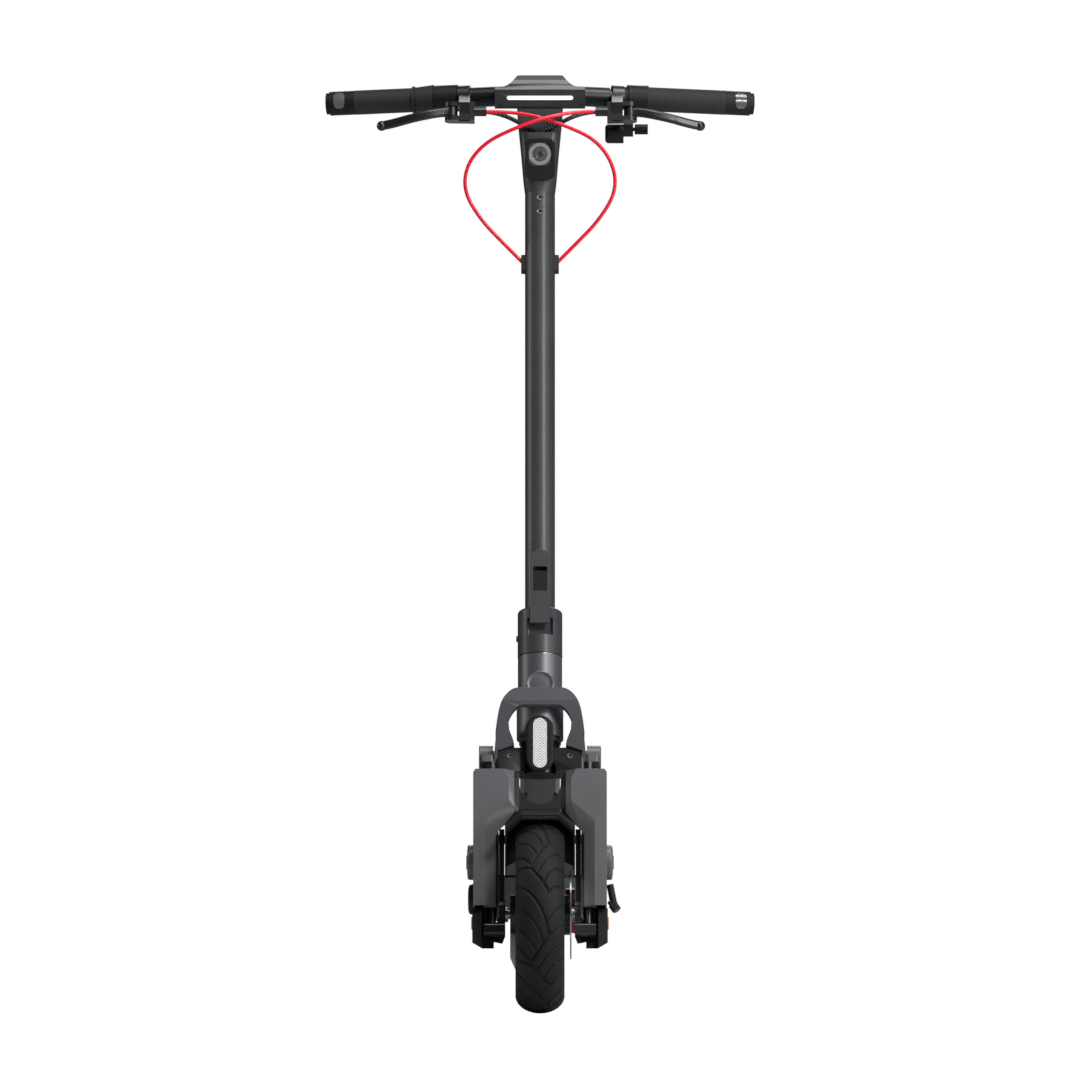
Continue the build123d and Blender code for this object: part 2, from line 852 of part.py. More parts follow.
cover_bottom = along_at(277.0, shroud_step)
base_outline = shroud_outline(shroud_inner, 185.4, 112.1, 137.5, 29.0, 0)
face_outline = shroud_outline(74.0, 182.0, 123.2, 151.3, 42.0, 0)
with BuildPart() as shroud_right:
    with BuildSketch(leaned_front(shroud_back)):
        with BuildLine():
            Polyline(*base_outline, close=True)
        make_face()
    extrude(amount=shroud_back - shroud_step)
    with BuildSketch(leaned_front(shroud_step)):
        with BuildLine():
            Polyline(*base_outline, close=True)
        make_face()
    with BuildSketch(leaned_front(shroud_front)):
        with BuildLine():
            Polyline(*face_outline, close=True)
        make_face()
    loft(ruled=True)
    with BuildSketch(leaned_front(shroud_step)):
        with BuildLine():
            Polyline(
                (0, cover_bottom), (30, cover_bottom), (40, 130), (40, shroud_top), (0, shroud_top),
                close=True,
            )
        make_face()
    extrude(amount=-shroud_wall)
    with BuildSketch(leaned_front(0)):
        with Locations((0, recess_at)):
            Circle(recess_radius)
        with Locations((0, recess_at + 50)):
            Rectangle(2 * recess_radius, 100)
    extrude(amount=60, mode=Mode.SUBTRACT)
    with BuildSketch(across(shroud_bottom - 1)):
        with Locations((0, (shroud_step + shroud_wall + shroud_back - 2) / 2)):
            Rectangle(2 * (shroud_outer - shroud_wall), shroud_back - shroud_step - shroud_wall - 2)
            Rectangle(
                2 * (shroud_inner + shroud_wall), shroud_back - shroud_step, mode=Mode.SUBTRACT
            )
    extrude(amount=220, mode=Mode.SUBTRACT)
    with BuildSketch(leaned_front(shroud_step + shroud_wall)):
        with BuildLine():
            Polyline(
                (shroud_outer - shroud_wall, shroud_bottom - 1),
                (74 + shroud_wall, shroud_bottom - 1),
                (74 + shroud_wall, 125),
                (46, 151),
                (46, shroud_top + 1),
                (shroud_outer - shroud_wall, shroud_top + 1),
                close=True,
            )
        make_face()
    extrude(amount=shroud_step - shroud_front, mode=Mode.SUBTRACT)
    with BuildSketch(leaned_side(-1)):
        with BuildLine():
            Polyline(
                (shroud_step + shroud_wall, 100), (shroud_back + 1, 100),
                (shroud_back + 1, 230), (shroud_step + shroud_wall, 230), close=True,
            )
        make_face()
    extrude(amount=shroud_inner + shroud_wall + 1.5, mode=Mode.SUBTRACT)
    with BuildSketch(Plane.YZ.offset(shroud_outer - 1)):
        with Locations((front_y + 20.6, 204.6)):
            Circle(23.7)
    extrude(amount=8.7)
    fillet(faces().sort_by(Axis.X)[-1].edges(), 3)
    split(bisect_by=Plane.YZ, keep=Keep.TOP)
save(shroud_right.part, "shroud_right")
with BuildPart() as shroud_left:
    add(mirror(shroud_right.part, about=Plane.YZ, mode=Mode.PRIVATE))
save(shroud_left.part, "shroud_left")

# Front fender with a thick front lip
with BuildPart() as front_fender:
    add(fender_arc(front_y, fender_radius + fender_wall, 23, lip_turn, 80))
    add(fender_arc(front_y, fender_radius + fender_wall + 9, 24, lip_turn - 3, 4))
save(front_fender.part, "front_fender")

# Folding joint: the lower collar on the steerer, hinged to the stem behind
with BuildPart() as hinge_collar:
    with BuildSketch(across(collar_bottom)):
        Circle(collar_radius)
    extrude(amount=fold_plane - collar_bottom)
    for side in (-1, 1):
        with BuildSketch(leaned_side(side * (knuckle_half + apart))):
            with Locations((fold_pin_y, fold_plane)):
                Circle(knuckle_radius)
            with BuildLine():
                Polyline(
                    (18, fold_plane - 0.01), (18, fold_plane - 26),
                    (fold_pin_y + knuckle_radius - 1, fold_plane - 3), (fold_pin_y, fold_plane - 0.01),
                    close=True,
                )
            make_face()
        extrude(amount=side * 12)
    with BuildSketch(leaned_side(-knuckle_half - apart)):
        with Locations((fold_pin_y, fold_plane)):
            Circle(knuckle_radius + 0.5)
    extrude(amount=2 * (knuckle_half + apart), mode=Mode.SUBTRACT)
    with BuildSketch(leaned_side(-30)):
        with Locations((fold_pin_y, fold_plane)):
            Circle(fold_pin_radius)
    extrude(amount=60, mode=Mode.SUBTRACT)
    with BuildSketch(across(388)):
        with Locations((0, -25.7)):
            RectangleRounded(35, 10.5, 3)
    extrude(amount=fold_plane - 388 + 1, mode=Mode.SUBTRACT)
    with BuildSketch(across(collar_bottom - 1)):
        Circle(steerer_radius)
    extrude(amount=13, mode=Mode.SUBTRACT)
    with BuildSketch(leaned_side(-collar_radius - 2)):
        with Locations((0, along_at(507.5, 0))):
            Circle(4)
    extrude(amount=8)
save(hinge_collar.part, "hinge_collar")

with BuildPart() as hinge_pin:
    with BuildSketch(leaned_side(-knuckle_half - apart - 12)):
        with Locations((fold_pin_y, fold_plane)):
            Circle(fold_pin_radius)
    extrude(amount=2 * (knuckle_half + apart + 12))
save(hinge_pin.part, "hinge_pin")

# Cables. Each is given by the corners of its route, sideways, behind the front axle, and in height.


def cord(route, diameter, label):
    """Straight runs joined by arcs; each arc takes nearly half of the shorter run beside it."""
    points = [Vector(x, front_y + y, z) for x, y, z in route]
    radii = []
    for before, at, after in zip(points, points[1:], points[2:]):
        half_turn = math.radians((at - before).get_angle(after - at)) / 2
        run = min((at - before).length, (after - at).length)
        radii.append(0.45 * run / math.tan(half_turn))
    with BuildPart() as made:
        with BuildLine():
            path = FilletPolyline(*points, radius=radii)
        with BuildSketch(Plane(origin=path @ 0, z_dir=path % 0)):
            Circle(diameter / 2)
        sweep(path=path)
    section = math.pi * diameter ** 2 / 4
    print(label, "radii", [round(r) for r in radii], "length", round(path.length, 1))
    print(label, "volume over section times length", round(made.part.volume / section / path.length, 3))
    save(made.part, label)
    return made.part


def other_side(route):
    return [(-x, y, z) for x, y, z in route]


loop_end = [(103, 259, 1113), (80, 258, 1075), (50, 257, 1044), (23.3, 256.5, 1017.4)]
brake_cable_left = cord(
    [
        (75, adjuster_y, adjuster_z), (50, adjuster_y, adjuster_z), (9, 256, 1215),
        (-34, 254, 1200), (-75, 256, 1180), (-100, 258, 1149),
    ] + other_side(loop_end),
    brake_cable_diameter,
    "brake_cable_left",
)
brake_cable_right = cord(
    [
        (-72.5, adjuster_y, adjuster_z), (-47, adjuster_y, adjuster_z), (-8, 266, 1217),
        (35, 262, 1203), (76, 260, 1184), (100, 259, 1150),
    ] + loop_end,
    brake_cable_diameter,
    "brake_cable_right",
)
harness_route = [
    (88, harness_y, harness_z), (68, harness_y, harness_z), (46, 291, 1216), (30, 286, 1208),
    (18, 288, 1201), (4.5, notch_back + 4, 1196),
]
harness_right = cord(harness_route, harness_diameter, "harness_right")
harness_left = cord(other_side(harness_route), harness_diameter, "harness_left")

# Stem: upper collar with the middle knuckle and the latch ears, and the tube above it
screw_places = [along_at(1106, -stem_radius), along_at(1087, -stem_radius)]
with BuildPart() as stem_tube:
    with BuildSketch(across(fold_plane + apart)):
        Circle(collar_radius)
    extrude(amount=collar_top - fold_plane - apart)
    fillet(edges().filter_by(GeomType.CIRCLE).sort_by(Axis.Z)[-1], 5)
    with BuildSketch(leaned_side(-knuckle_half)):
        with Locations((fold_pin_y, fold_plane)):
            Circle(knuckle_radius)
        with BuildLine():
            Polyline(
                (20, fold_plane + apart), (20, collar_top - 5), (fold_pin_y - 5, collar_top - 5),
                (fold_pin_y + 5, fold_plane + 6), (fold_pin_y, fold_plane + apart), close=True,
            )
        make_face()
    extrude(amount=2 * knuckle_half)
    with BuildSketch(across(fold_plane + apart)):
        with Locations((0, -27)):
            Rectangle(2 * (latch_half_width + 3.8), 14)
    extrude(amount=11.5)
    for side in (-1, 1):
        with BuildSketch(leaned_side(side * knuckle_half)):
            with Locations((fold_pin_y, fold_plane)):
                Circle(knuckle_radius + 0.5)
        extrude(amount=side * 20, mode=Mode.SUBTRACT)
    with BuildSketch(across(fold_plane)):
        with Locations((0, -35)):
            Rectangle(2 * (latch_half_width + 0.4), 29.4)
    extrude(amount=40, mode=Mode.SUBTRACT)
    with BuildSketch(across(fold_plane + apart)):
        Circle(stem_radius)
    extrude(amount=stem_top - fold_plane - apart)
    with BuildSketch(across(collar_top)):
        Circle(stem_radius - stem_wall)
    extrude(amount=stem_top - collar_top, mode=Mode.SUBTRACT)
    with BuildSketch(leaned_side(-30)):
        with Locations((fold_pin_y, fold_plane)):
            Circle(fold_pin_radius + running)
        with Locations((latch_pin_y, latch_pin_at)):
            Circle(2.5 + running)
    extrude(amount=60, mode=Mode.SUBTRACT)
    with BuildSketch(leaned_front(0)):
        for place in screw_places:
            with Locations((0, place)):
                Circle(screw_radius)
    extrude(amount=30, mode=Mode.SUBTRACT)
save(stem_tube.part, "stem_tube")

# Stem fittings: two hex socket screws in front and a rubber grommet on each side
with BuildPart() as stem_fittings:
    with BuildSketch(leaned_front(-stem_radius + stem_wall)):
        for place in screw_places:
            with Locations((0, place)):
                Circle(screw_radius)
    extrude(amount=stem_wall + 0.6)
    with BuildSketch(leaned_front(-stem_radius)):
        for place in screw_places:
            with Locations((0, place)):
                RegularPolygon(2.3, 6)
    extrude(amount=2, mode=Mode.SUBTRACT)
    for side in (-1, 1):
        with BuildSketch(leaned_side(side * (stem_radius - 4))):
            with Locations((0, grommet_at)):
                SlotOverall(28, 13, rotation=90)
        extrude(amount=side * 9.3, taper=6)
    with BuildSketch(across(grommet_at - 20)):
        Circle(stem_radius)
    extrude(amount=40, mode=Mode.SUBTRACT)
    for cable in (brake_cable_left, brake_cable_right):
        add(cable, mode=Mode.SUBTRACT)
save(stem_fittings.part, "stem_fittings")

# Neck casting on top of the stem, with a pocket for the headlight
neck_sections = [
    (stem_top, stem_radius, stem_radius, stem_radius - 0.1),
    (1051, 23.8, 23.5, 15),
    (1079, 26, 26, 13),
    (1106, 28.5, 28, 12),
    (1150, 31, 30, 12),
]
with BuildPart() as headlight_housing:
    with BuildSketch(front_view(headlight_y)):
        with Locations((0, 1157.65)):
            RectangleRounded(40.4, 55.9, 9)
    extrude(amount=-24)
    with BuildSketch(front_view(headlight_y)):
        with Locations((0, 1164.75)):
            RectangleRounded(30.6, 31.5, 9)
    extrude(amount=-12, mode=Mode.SUBTRACT)
save(headlight_housing.part, "headlight_housing")

with BuildPart() as headlight_lens:
    with BuildSketch(front_view(headlight_y + 3)):
        with Locations((0, 1164.75)):
            RectangleRounded(30.6, 31.5, 9)
    extrude(amount=-9)
save(headlight_lens.part, "headlight_lens")

with BuildPart() as stem_neck:
    for place, half_x, half_y, corner in neck_sections:
        with BuildSketch(across(place)):
            RectangleRounded(2 * half_x, 2 * half_y, corner)
    loft()
    split(bisect_by=Plane.XY.offset(pod_bottom), keep=Keep.BOTTOM)
    with BuildSketch(across(stem_top - 50)):
        Circle(stem_radius - stem_wall)
    extrude(amount=50)
    with BuildSketch(across(stem_top - 50)):
        Circle(stem_radius - stem_wall - 3)
    extrude(amount=130, mode=Mode.SUBTRACT)
    with BuildSketch(front_view(headlight_y - 10)):
        with Locations((0, 1157.65)):
            RectangleRounded(40.4, 55.9, 9)
    extrude(amount=-34, mode=Mode.SUBTRACT)
    with BuildSketch(side_view(-40)):
        with BuildLine():
            Polyline(
                (240, 1194), (notch_back, 1194), (notch_back, pod_bottom + 1), (240, pod_bottom + 1),
                close=True,
            )
        make_face()
    extrude(amount=80, mode=Mode.SUBTRACT)
    for piece in (stem_fittings.part, harness_left, harness_right):
        add(piece, mode=Mode.SUBTRACT)
save(stem_neck.part, "stem_neck")

# Handlebar: a thick middle clamped in the display pod, thinner ends, swept back
bar_points = [bar_point(x) for x in (-bar_end, -bar_bend, bar_bend, bar_end)]
step_points = [bar_point(x) for x in (-bar_step, -bar_bend, bar_bend, bar_step)]
with BuildPart() as handlebar:
    for points, outer in ((bar_points, grip_bar_radius), (step_points, bar_radius)):
        with BuildLine():
            path = FilletPolyline(*points, radius=120)
        with BuildSketch(Plane(origin=path @ 0, z_dir=path % 0)):
            Circle(outer)
        sweep(path=path)
    with BuildLine():
        path = FilletPolyline(*bar_points, radius=120)
    with BuildSketch(Plane(origin=path @ 0, z_dir=path % 0)):
        Circle(grip_bar_radius - bar_wall)
    sweep(path=path, mode=Mode.SUBTRACT)
save(handlebar.part, "handlebar")

# Display pod over the bar, with the light strip in front
with BuildPart() as light_strip:
    with BuildSketch(front_view(295.7)):
        with Locations((0, 1240.7)):
            RectangleRounded(90, 5.7, 2.8)
    extrude(amount=-4)
save(light_strip.part, "light_strip")

with BuildPart() as display_pod:
    with BuildSketch(side_view(-pod_half_width)):
        with BuildLine():
            Polyline(
                (298, pod_bottom), (296, 1230), (296, 1252), (304, 1264), (312, 1271.3),
                (370, 1262), (376, 1254), (372, 1236), (352, pod_bottom), close=True,
            )
        make_face()
    extrude(amount=2 * pod_half_width)
    with BuildSketch(front_view(200)):
        with BuildLine():
            Polyline((0, 1271.3), (0, pod_bottom - 2), (pod_half_width, pod_bottom - 2), (pod_half_width, 1255.5))
            shoulder = Spline(
                (pod_half_width, 1255.5), (46, 1257.4), (38, 1263), (32, 1269.5), (28, 1271.3),
                tangents=[(-1, 0.03), (-1, 0)],
            )
            Line(shoulder @ 1, (0, 1271.3))
        make_face()
        mirror(about=Plane.YZ)
    extrude(amount=-300, mode=Mode.INTERSECT)
    add(handlebar.part, mode=Mode.SUBTRACT)
    add(light_strip.part, mode=Mode.SUBTRACT)
    with BuildSketch(Plane(origin=(30, front_y + 362, 1245), z_dir=(0, 1, 0))):
        Circle(6 + apart)
    extrude(amount=20, mode=Mode.SUBTRACT)
save(display_pod.part, "display_pod")


# Brake calipers: each holds a disc behind or before its axle
caliper_inner = 34.5
slot_radius = rotor_radius + 2


def caliper(y, turn):
    """A caliper at one angle round the axle, with a slot for the disc."""
    with BuildPart() as made:
        with BuildSketch(disc_plane(caliper_inner, y)):
            with PolarLocations(rotor_radius - 7, 1, start_angle=turn):
                RectangleRounded(26, 60, 5)
        extrude(amount=carrier_inner - caliper_inner)
        with BuildSketch(disc_plane(hub_half_width - apart, y)):
            Circle(slot_radius)
        extrude(amount=rotor_thickness + 1, mode=Mode.SUBTRACT)
    return made.part


with BuildPart() as front_caliper:
    add(caliper(front_y, 6))
    with BuildSketch(disc_plane(carrier_inner, front_y)):
        with Locations((37, 3)):
            RectangleRounded(46, 24, 5)
    extrude(amount=5)
    add(fork_lowers.part, mode=Mode.SUBTRACT)
    add(damper_rods.part, mode=Mode.SUBTRACT)
save(front_caliper.part, "front_caliper")
save(caliper(rear_y, 160), "rear_caliper")

# Handlebar ends, grips and the throttle


def on_bar(side, start, end, outer, bore):
    """A round piece on the handlebar between two distances to the side."""
    with BuildPart() as made:
        with BuildSketch(bar_plane(start, side)):
            Circle(outer)
            if bore:
                Circle(bore, mode=Mode.SUBTRACT)
        extrude(amount=(end - start) / sweep_cos)
    return made.part


with BuildPart() as grips:
    for side, start in ((1, right_housing + 24.6), (-1, throttle_end + apart)):
        add(on_bar(side, start, grip_end, grip_radius, grip_bar_radius))
        add(on_bar(side, start, start + 3, grip_radius + 2, grip_bar_radius))
save(grips.part, "grips")

lens_at = 270.0
with BuildPart() as signal_lenses:
    for side in (-1, 1):
        bar = bar_plane(lens_at, side)
        with BuildSketch(Plane(origin=bar.origin - bar.x_dir * 13, x_dir=bar.z_dir, z_dir=-bar.x_dir)):
            RectangleRounded(15, 24, 7.4)
        extrude(amount=6)
    with BuildPart(mode=Mode.INTERSECT):
        for side in (-1, 1):
            add(on_bar(side, lens_at - 20, lens_at + 20, grip_radius + 0.6, 0))
save(signal_lenses.part, "signal_lenses")

with BuildPart() as bar_ends:
    for side in (-1, 1):
        add(on_bar(side, grip_end + apart, bar_end, grip_radius - 0.2, grip_bar_radius))
        add(on_bar(side, bar_end, bar_cap_end, grip_radius - 2, 0))
    add(signal_lenses.part, mode=Mode.SUBTRACT)
    add(handlebar.part, mode=Mode.SUBTRACT)
save(bar_ends.part, "bar_ends")

with BuildPart() as throttle_sleeve:
    with BuildSketch(bar_plane(throttle_start, -1)):
        Circle(grip_radius + 3)
    with BuildSketch(bar_plane(throttle_end, -1)):
        Circle(grip_radius + 0.3)
    loft()
    with BuildSketch(bar_plane(throttle_start - 1, -1)):
        Circle(grip_bar_radius + running)
    extrude(amount=30, mode=Mode.SUBTRACT)
save(throttle_sleeve.part, "throttle_sleeve")

# Signal button in the back of the right housing, and the power button in the back of the pod
switch_bar = bar_plane(right_housing + 12, 1)
with BuildPart() as signal_switch:
    with BuildSketch(Plane(origin=switch_bar.origin + switch_bar.x_dir * 14.5, z_dir=switch_bar.x_dir)):
        Circle(4)
    extrude(amount=6.5)
save(signal_switch.part, "signal_switch")

with BuildPart() as control_housings:
    add(on_bar(-1, left_housing, throttle_start - apart, housing_radius, grip_bar_radius))
    add(on_bar(1, right_housing, right_housing + 24.3, housing_radius, grip_bar_radius))
    with BuildSketch(Plane(origin=switch_bar.origin + switch_bar.x_dir * 13, z_dir=switch_bar.x_dir)):
        Circle(4 + apart)
    extrude(amount=8, mode=Mode.SUBTRACT)
save(control_housings.part, "control_housings")

with BuildPart() as power_button:
    with BuildSketch(Plane(origin=(30, front_y + 365, 1245), z_dir=(0, 1, 0))):
        Circle(6)
    extrude(amount=13)
save(power_button.part, "power_button")

# Brake levers, their clamps and cable adjusters. The pivots run along the steering axis.


def lever_plane(at, up):
    """Square to a lever's pivot on the right: x is sideways, y is backwards."""
    return Plane(
        origin=Vector(at, front_y + lever_y, lever_z) + axis_direction * up,
        x_dir=(1, 0, 0),
        z_dir=axis_direction,
    )


def lever_mount(at):
    """Clamp, body with a slot for the lever, pivot pin, adjuster and harness boss, on the right."""
    clamp_start = at - 25
    with BuildPart() as made:
        with BuildSketch(bar_plane(clamp_start, 1)):
            Circle(clamp_radius)
        extrude(amount=2 * clamp_half / sweep_cos)
        with BuildSketch(side_view(clamp_start + 0.5)):
            with BuildLine():
                Polyline(
                    (lever_y - 10, 1209), (lever_y - 10, 1235), (306, 1245), (330, 1245),
                    (330, 1226), (304, 1214), (lever_y + 12, 1209), close=True,
                )
            make_face()
        extrude(amount=2 * clamp_half - 1)
        with BuildSketch(lever_plane(at, -13)):
            Circle(9.5)
            with BuildLine():
                Polyline((0, -9.5), (-31, -9), (-31, 11), (0, 9.5), close=True)
            make_face()
        extrude(amount=26)
        with BuildSketch(lever_plane(at, -lever_height / 2 - slot_gap)):
            with Locations((7, 0)):
                Rectangle(36, 60)
        extrude(amount=lever_height + 2 * slot_gap, mode=Mode.SUBTRACT)
        with BuildSketch(lever_plane(at, -10)):
            Circle(lever_pin)
        extrude(amount=20)
        with BuildSketch(Plane(origin=(at - 30, front_y + adjuster_y, adjuster_z), z_dir=(-1, 0, 0))):
            Circle(6.3)
        extrude(amount=17)
        with BuildSketch(Plane(origin=(clamp_start + 1, front_y + harness_y, harness_z), z_dir=(-1, 0, 0))):
            Circle(4.6)
        extrude(amount=clamp_start + 1 - 88)
        with BuildSketch(bar_plane(clamp_start - 3, 1)):
            Circle(grip_bar_radius)
        extrude(amount=30, mode=Mode.SUBTRACT)
    return made.part


def lever(at):
    """A two-finger brake lever on the right: hub, curved blade and ball end."""
    tip = lever_plane(at, -16).origin + Vector(95, 5, -3)
    with BuildPart() as made:
        with BuildSketch(lever_plane(at, -lever_height / 2)):
            Circle(lever_hub)
        extrude(amount=lever_height)
        with BuildLine():
            path = Spline(
                lever_plane(at, 0).origin + Vector(2, -2, 0),
                lever_plane(at, -0.3).origin + Vector(12, -3, 0),
                lever_plane(at, -3).origin + Vector(30, -6, 0),
                lever_plane(at, -10).origin + Vector(60, -3, 0),
                tip,
                tangents=[(1, 0, 0), (1, 0.2, -0.2)],
            )
        with BuildSketch(Plane(origin=path @ 0, x_dir=axis_direction, z_dir=(1, 0, 0))):
            RectangleRounded(12, 9.4, 3.5)
        sweep(path=path)
        with Locations(tip):
            Sphere(6.8)
        with BuildSketch(lever_plane(at, -12)):
            Circle(lever_pin + running)
        extrude(amount=24, mode=Mode.SUBTRACT)
    return made.part


with BuildPart() as lever_mounts:
    add(lever_mount(right_lever_at))
    add(mirror(lever_mount(left_lever_at), about=Plane.YZ, mode=Mode.PRIVATE))
    add(handlebar.part, mode=Mode.SUBTRACT)
save(lever_mounts.part, "lever_mounts")
with BuildPart() as lever_right:
    add(lever(right_lever_at))
save(lever_right.part, "lever_right")
with BuildPart() as lever_left:
    add(mirror(lever(left_lever_at), about=Plane.YZ, mode=Mode.PRIVATE))
save(lever_left.part, "lever_left")

# Bell under the right control housing, with a turning striker knob
with BuildPart() as bell_striker:
    with BuildSketch(Plane(origin=(bell_at + 5, front_y + bell_y, 1198), z_dir=(1, 0, 0))):
        Circle(2.5)
    extrude(amount=9)
    with BuildSketch(Plane(origin=(bell_at + 12.7, front_y + bell_y, 1198), z_dir=(1, 0, 0))):
        Circle(7)
        with PolarLocations(7, 10):
            Circle(1, mode=Mode.SUBTRACT)
    extrude(amount=18)
save(bell_striker.part, "bell_striker")

with BuildPart() as bell_body:
    add(on_bar(1, bell_at - 2.3, bell_at + 2.1, 15.5, grip_bar_radius))
    with BuildSketch(side_view(bell_at - 1.9)):
        with BuildLine():
            Polyline((309, 1200), (325, 1200), (330, 1228), (319, 1228), close=True)
        make_face()
    extrude(amount=3.4)
    with BuildSketch(side_view(bell_at - 2.3)):
        with Locations((bell_y, 1197.5)):
            RectangleRounded(18, 19, 4)
    extrude(amount=13)
    with BuildSketch(side_view(bell_at - 2.3)):
        with Locations((bell_y, bell_z)):
            Circle(bell_radius)
    extrude(amount=-25)
    fillet(faces().sort_by(Axis.X)[0].edges(), 5)
    with BuildSketch(Plane(origin=(bell_at + 4, front_y + bell_y, 1198), z_dir=(1, 0, 0))):
        Circle(2.5 + running)
    extrude(amount=12, mode=Mode.SUBTRACT)
    with BuildSketch(bar_plane(bell_at - 6, 1)):
        Circle(grip_bar_radius)
    extrude(amount=12, mode=Mode.SUBTRACT)
save(bell_body.part, "bell_body")

# Latch: a long lever on the front of the stem, with a sliding lock in its window
with BuildPart() as latch_plate:
    with BuildSketch(leaned_side(-latch_half_width)):
        with BuildLine():
            Polyline(
                (latch_front, latch_bottom), (-31.5, latch_bottom), (-31.5, latch_pin_at),
                (-24.5, latch_pin_at), (-24.5, collar_top + 2), (-21.2, collar_top + 6),
                (-21.2, latch_top - 8), (-30, latch_top), (latch_front, latch_top), close=True,
            )
        make_face()
        with Locations((latch_pin_y, latch_pin_at)):
            Circle(5.5)
    extrude(amount=2 * latch_half_width)
    with BuildSketch(leaned_front(-10)):
        with BuildLine():
            Polyline(
                (-latch_half_width, latch_bottom), (latch_half_width, latch_bottom),
                (latch_half_width, latch_top - latch_half_width),
                (-latch_half_width, latch_top - latch_half_width), close=True,
            )
        make_face()
        with Locations((0, latch_top - latch_half_width)):
            Circle(latch_half_width)
    extrude(amount=40, mode=Mode.INTERSECT)
    window_length = latch_window_high - latch_window_low
    with BuildSketch(leaned_front(-25)):
        with Locations((0, latch_window_low + window_length / 2)):
            RectangleRounded(19, window_length, 2)
    extrude(amount=20, mode=Mode.SUBTRACT)
    with BuildSketch(leaned_front(-25)):
        with Locations((0, latch_window_low + window_length / 2 + 1)):
            RectangleRounded(23, window_length + 8, 2)
    extrude(amount=7, mode=Mode.SUBTRACT)
    with BuildSketch(leaned_side(-latch_half_width - 3.8)):
        with Locations((latch_pin_y, latch_pin_at)):
            Circle(2.5)
    extrude(amount=2 * latch_half_width + 7.6)
save(latch_plate.part, "latch_plate")

with BuildPart() as latch_slider:
    with BuildSketch(leaned_front(-25.3)):
        with Locations((0, latch_window_low + 15)):
            RectangleRounded(22, 29, 1.5)
    extrude(amount=6.4)
    with BuildSketch(leaned_front(-26)):
        with Locations((0, latch_window_low + 14.3)):
            RectangleRounded(18.4, 28, 1.5)
    extrude(amount=9.5)
save(latch_slider.part, "latch_slider")

# Charging port cap on the side of the deck
cap_y = deck_back - 60
cap_z = deck_bottom + 27
with BuildPart() as charge_cap:
    with BuildSketch(side_view(deck_half_width - deck_wall)):
        with Locations((cap_y, cap_z)):
            Circle(8.4)
    extrude(amount=deck_wall + 1)
    with BuildSketch(side_view(deck_half_width + apart)):
        with Locations((cap_y, cap_z)):
            Circle(11)
        with Locations((cap_y, cap_z + 9)):
            Rectangle(12, 7)
    extrude(amount=2)
    with BuildSketch(Plane(origin=(deck_half_width + 1.5, front_y + cap_y - 6, cap_z + 12.5), z_dir=(0, 1, 0))):
        Circle(1.2)
    extrude(amount=12)
save(charge_cap.part, "charge_cap")

# Kickstand, folded back under the deck
with BuildPart() as kickstand:
    hub_start = nose_width - 8 - apart
    with BuildSketch(side_view(hub_start)):
        with Locations((stand_y, stand_z)):
            Circle(8)
    extrude(amount=-13)
    with BuildSketch(Plane(origin=(hub_start - 6.5, front_y + stand_y, stand_z), z_dir=(0, 1, 0))):
        Circle(5.5)
    extrude(amount=stand_length)
    with BuildSketch(side_view(hub_start - 14)):
        with Locations((stand_y + stand_length, stand_z)):
            RectangleRounded(9, 14, 3)
    extrude(amount=15)
    with BuildSketch(side_view(hub_start + 1)):
        with Locations((stand_y, stand_z)):
            Circle(stand_pin + running)
    extrude(amount=-16, mode=Mode.SUBTRACT)
save(kickstand.part, "kickstand")
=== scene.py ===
import bpy
import bmesh
import json
import math
from mathutils import Matrix, Vector


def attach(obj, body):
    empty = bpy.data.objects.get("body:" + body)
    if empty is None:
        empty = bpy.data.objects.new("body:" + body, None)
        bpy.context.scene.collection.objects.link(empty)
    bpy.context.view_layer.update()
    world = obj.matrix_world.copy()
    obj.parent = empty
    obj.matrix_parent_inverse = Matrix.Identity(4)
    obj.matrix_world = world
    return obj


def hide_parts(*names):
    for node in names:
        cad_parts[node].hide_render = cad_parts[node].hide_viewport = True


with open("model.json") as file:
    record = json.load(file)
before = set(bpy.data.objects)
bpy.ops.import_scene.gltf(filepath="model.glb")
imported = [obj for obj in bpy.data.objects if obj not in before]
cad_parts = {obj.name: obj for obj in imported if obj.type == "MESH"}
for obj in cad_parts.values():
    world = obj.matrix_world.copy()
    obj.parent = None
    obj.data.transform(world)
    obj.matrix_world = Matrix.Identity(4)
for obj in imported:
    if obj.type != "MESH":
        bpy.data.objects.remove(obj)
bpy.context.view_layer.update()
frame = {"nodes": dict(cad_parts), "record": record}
nodes = frame["nodes"]
print("frame loaded:", len(nodes), "nodes")

mm = 0.001
scooter = {"axleY": -461.15, "axleZ": 133.7, "rearY": 438.85, "leanDegrees": 16.2}
leanFrame = Matrix.Translation((0, scooter["axleY"] * mm, scooter["axleZ"] * mm)) @ Matrix.Rotation(
    math.radians(-scooter["leanDegrees"]), 4, "X")
toFork = leanFrame.inverted()


def leaned(x, back, along):
    # a place in fork coordinates, millimetres: sideways, behind the steering axis, along it
    return leanFrame @ Vector((x * mm, back * mm, along * mm))


def standing(x, behind, height):
    # a place in millimetres: sideways, behind the front axle, above the floor
    return Vector((x * mm, (scooter["axleY"] + behind) * mm, height * mm))


# Camera square to the front

view = {"width": 1.4634, "height": 0.6416, "distance": 5.0}
cameraData = bpy.data.cameras.new("frontCamera")
cameraData.type = "ORTHO"
cameraData.ortho_scale = view["width"]
camera = bpy.data.objects.new("frontCamera", cameraData)
camera.location = (0, -view["distance"], view["height"])
camera.rotation_euler = (math.radians(90), 0, 0)
bpy.context.collection.objects.link(camera)
bpy.context.scene.camera = camera


# Materials


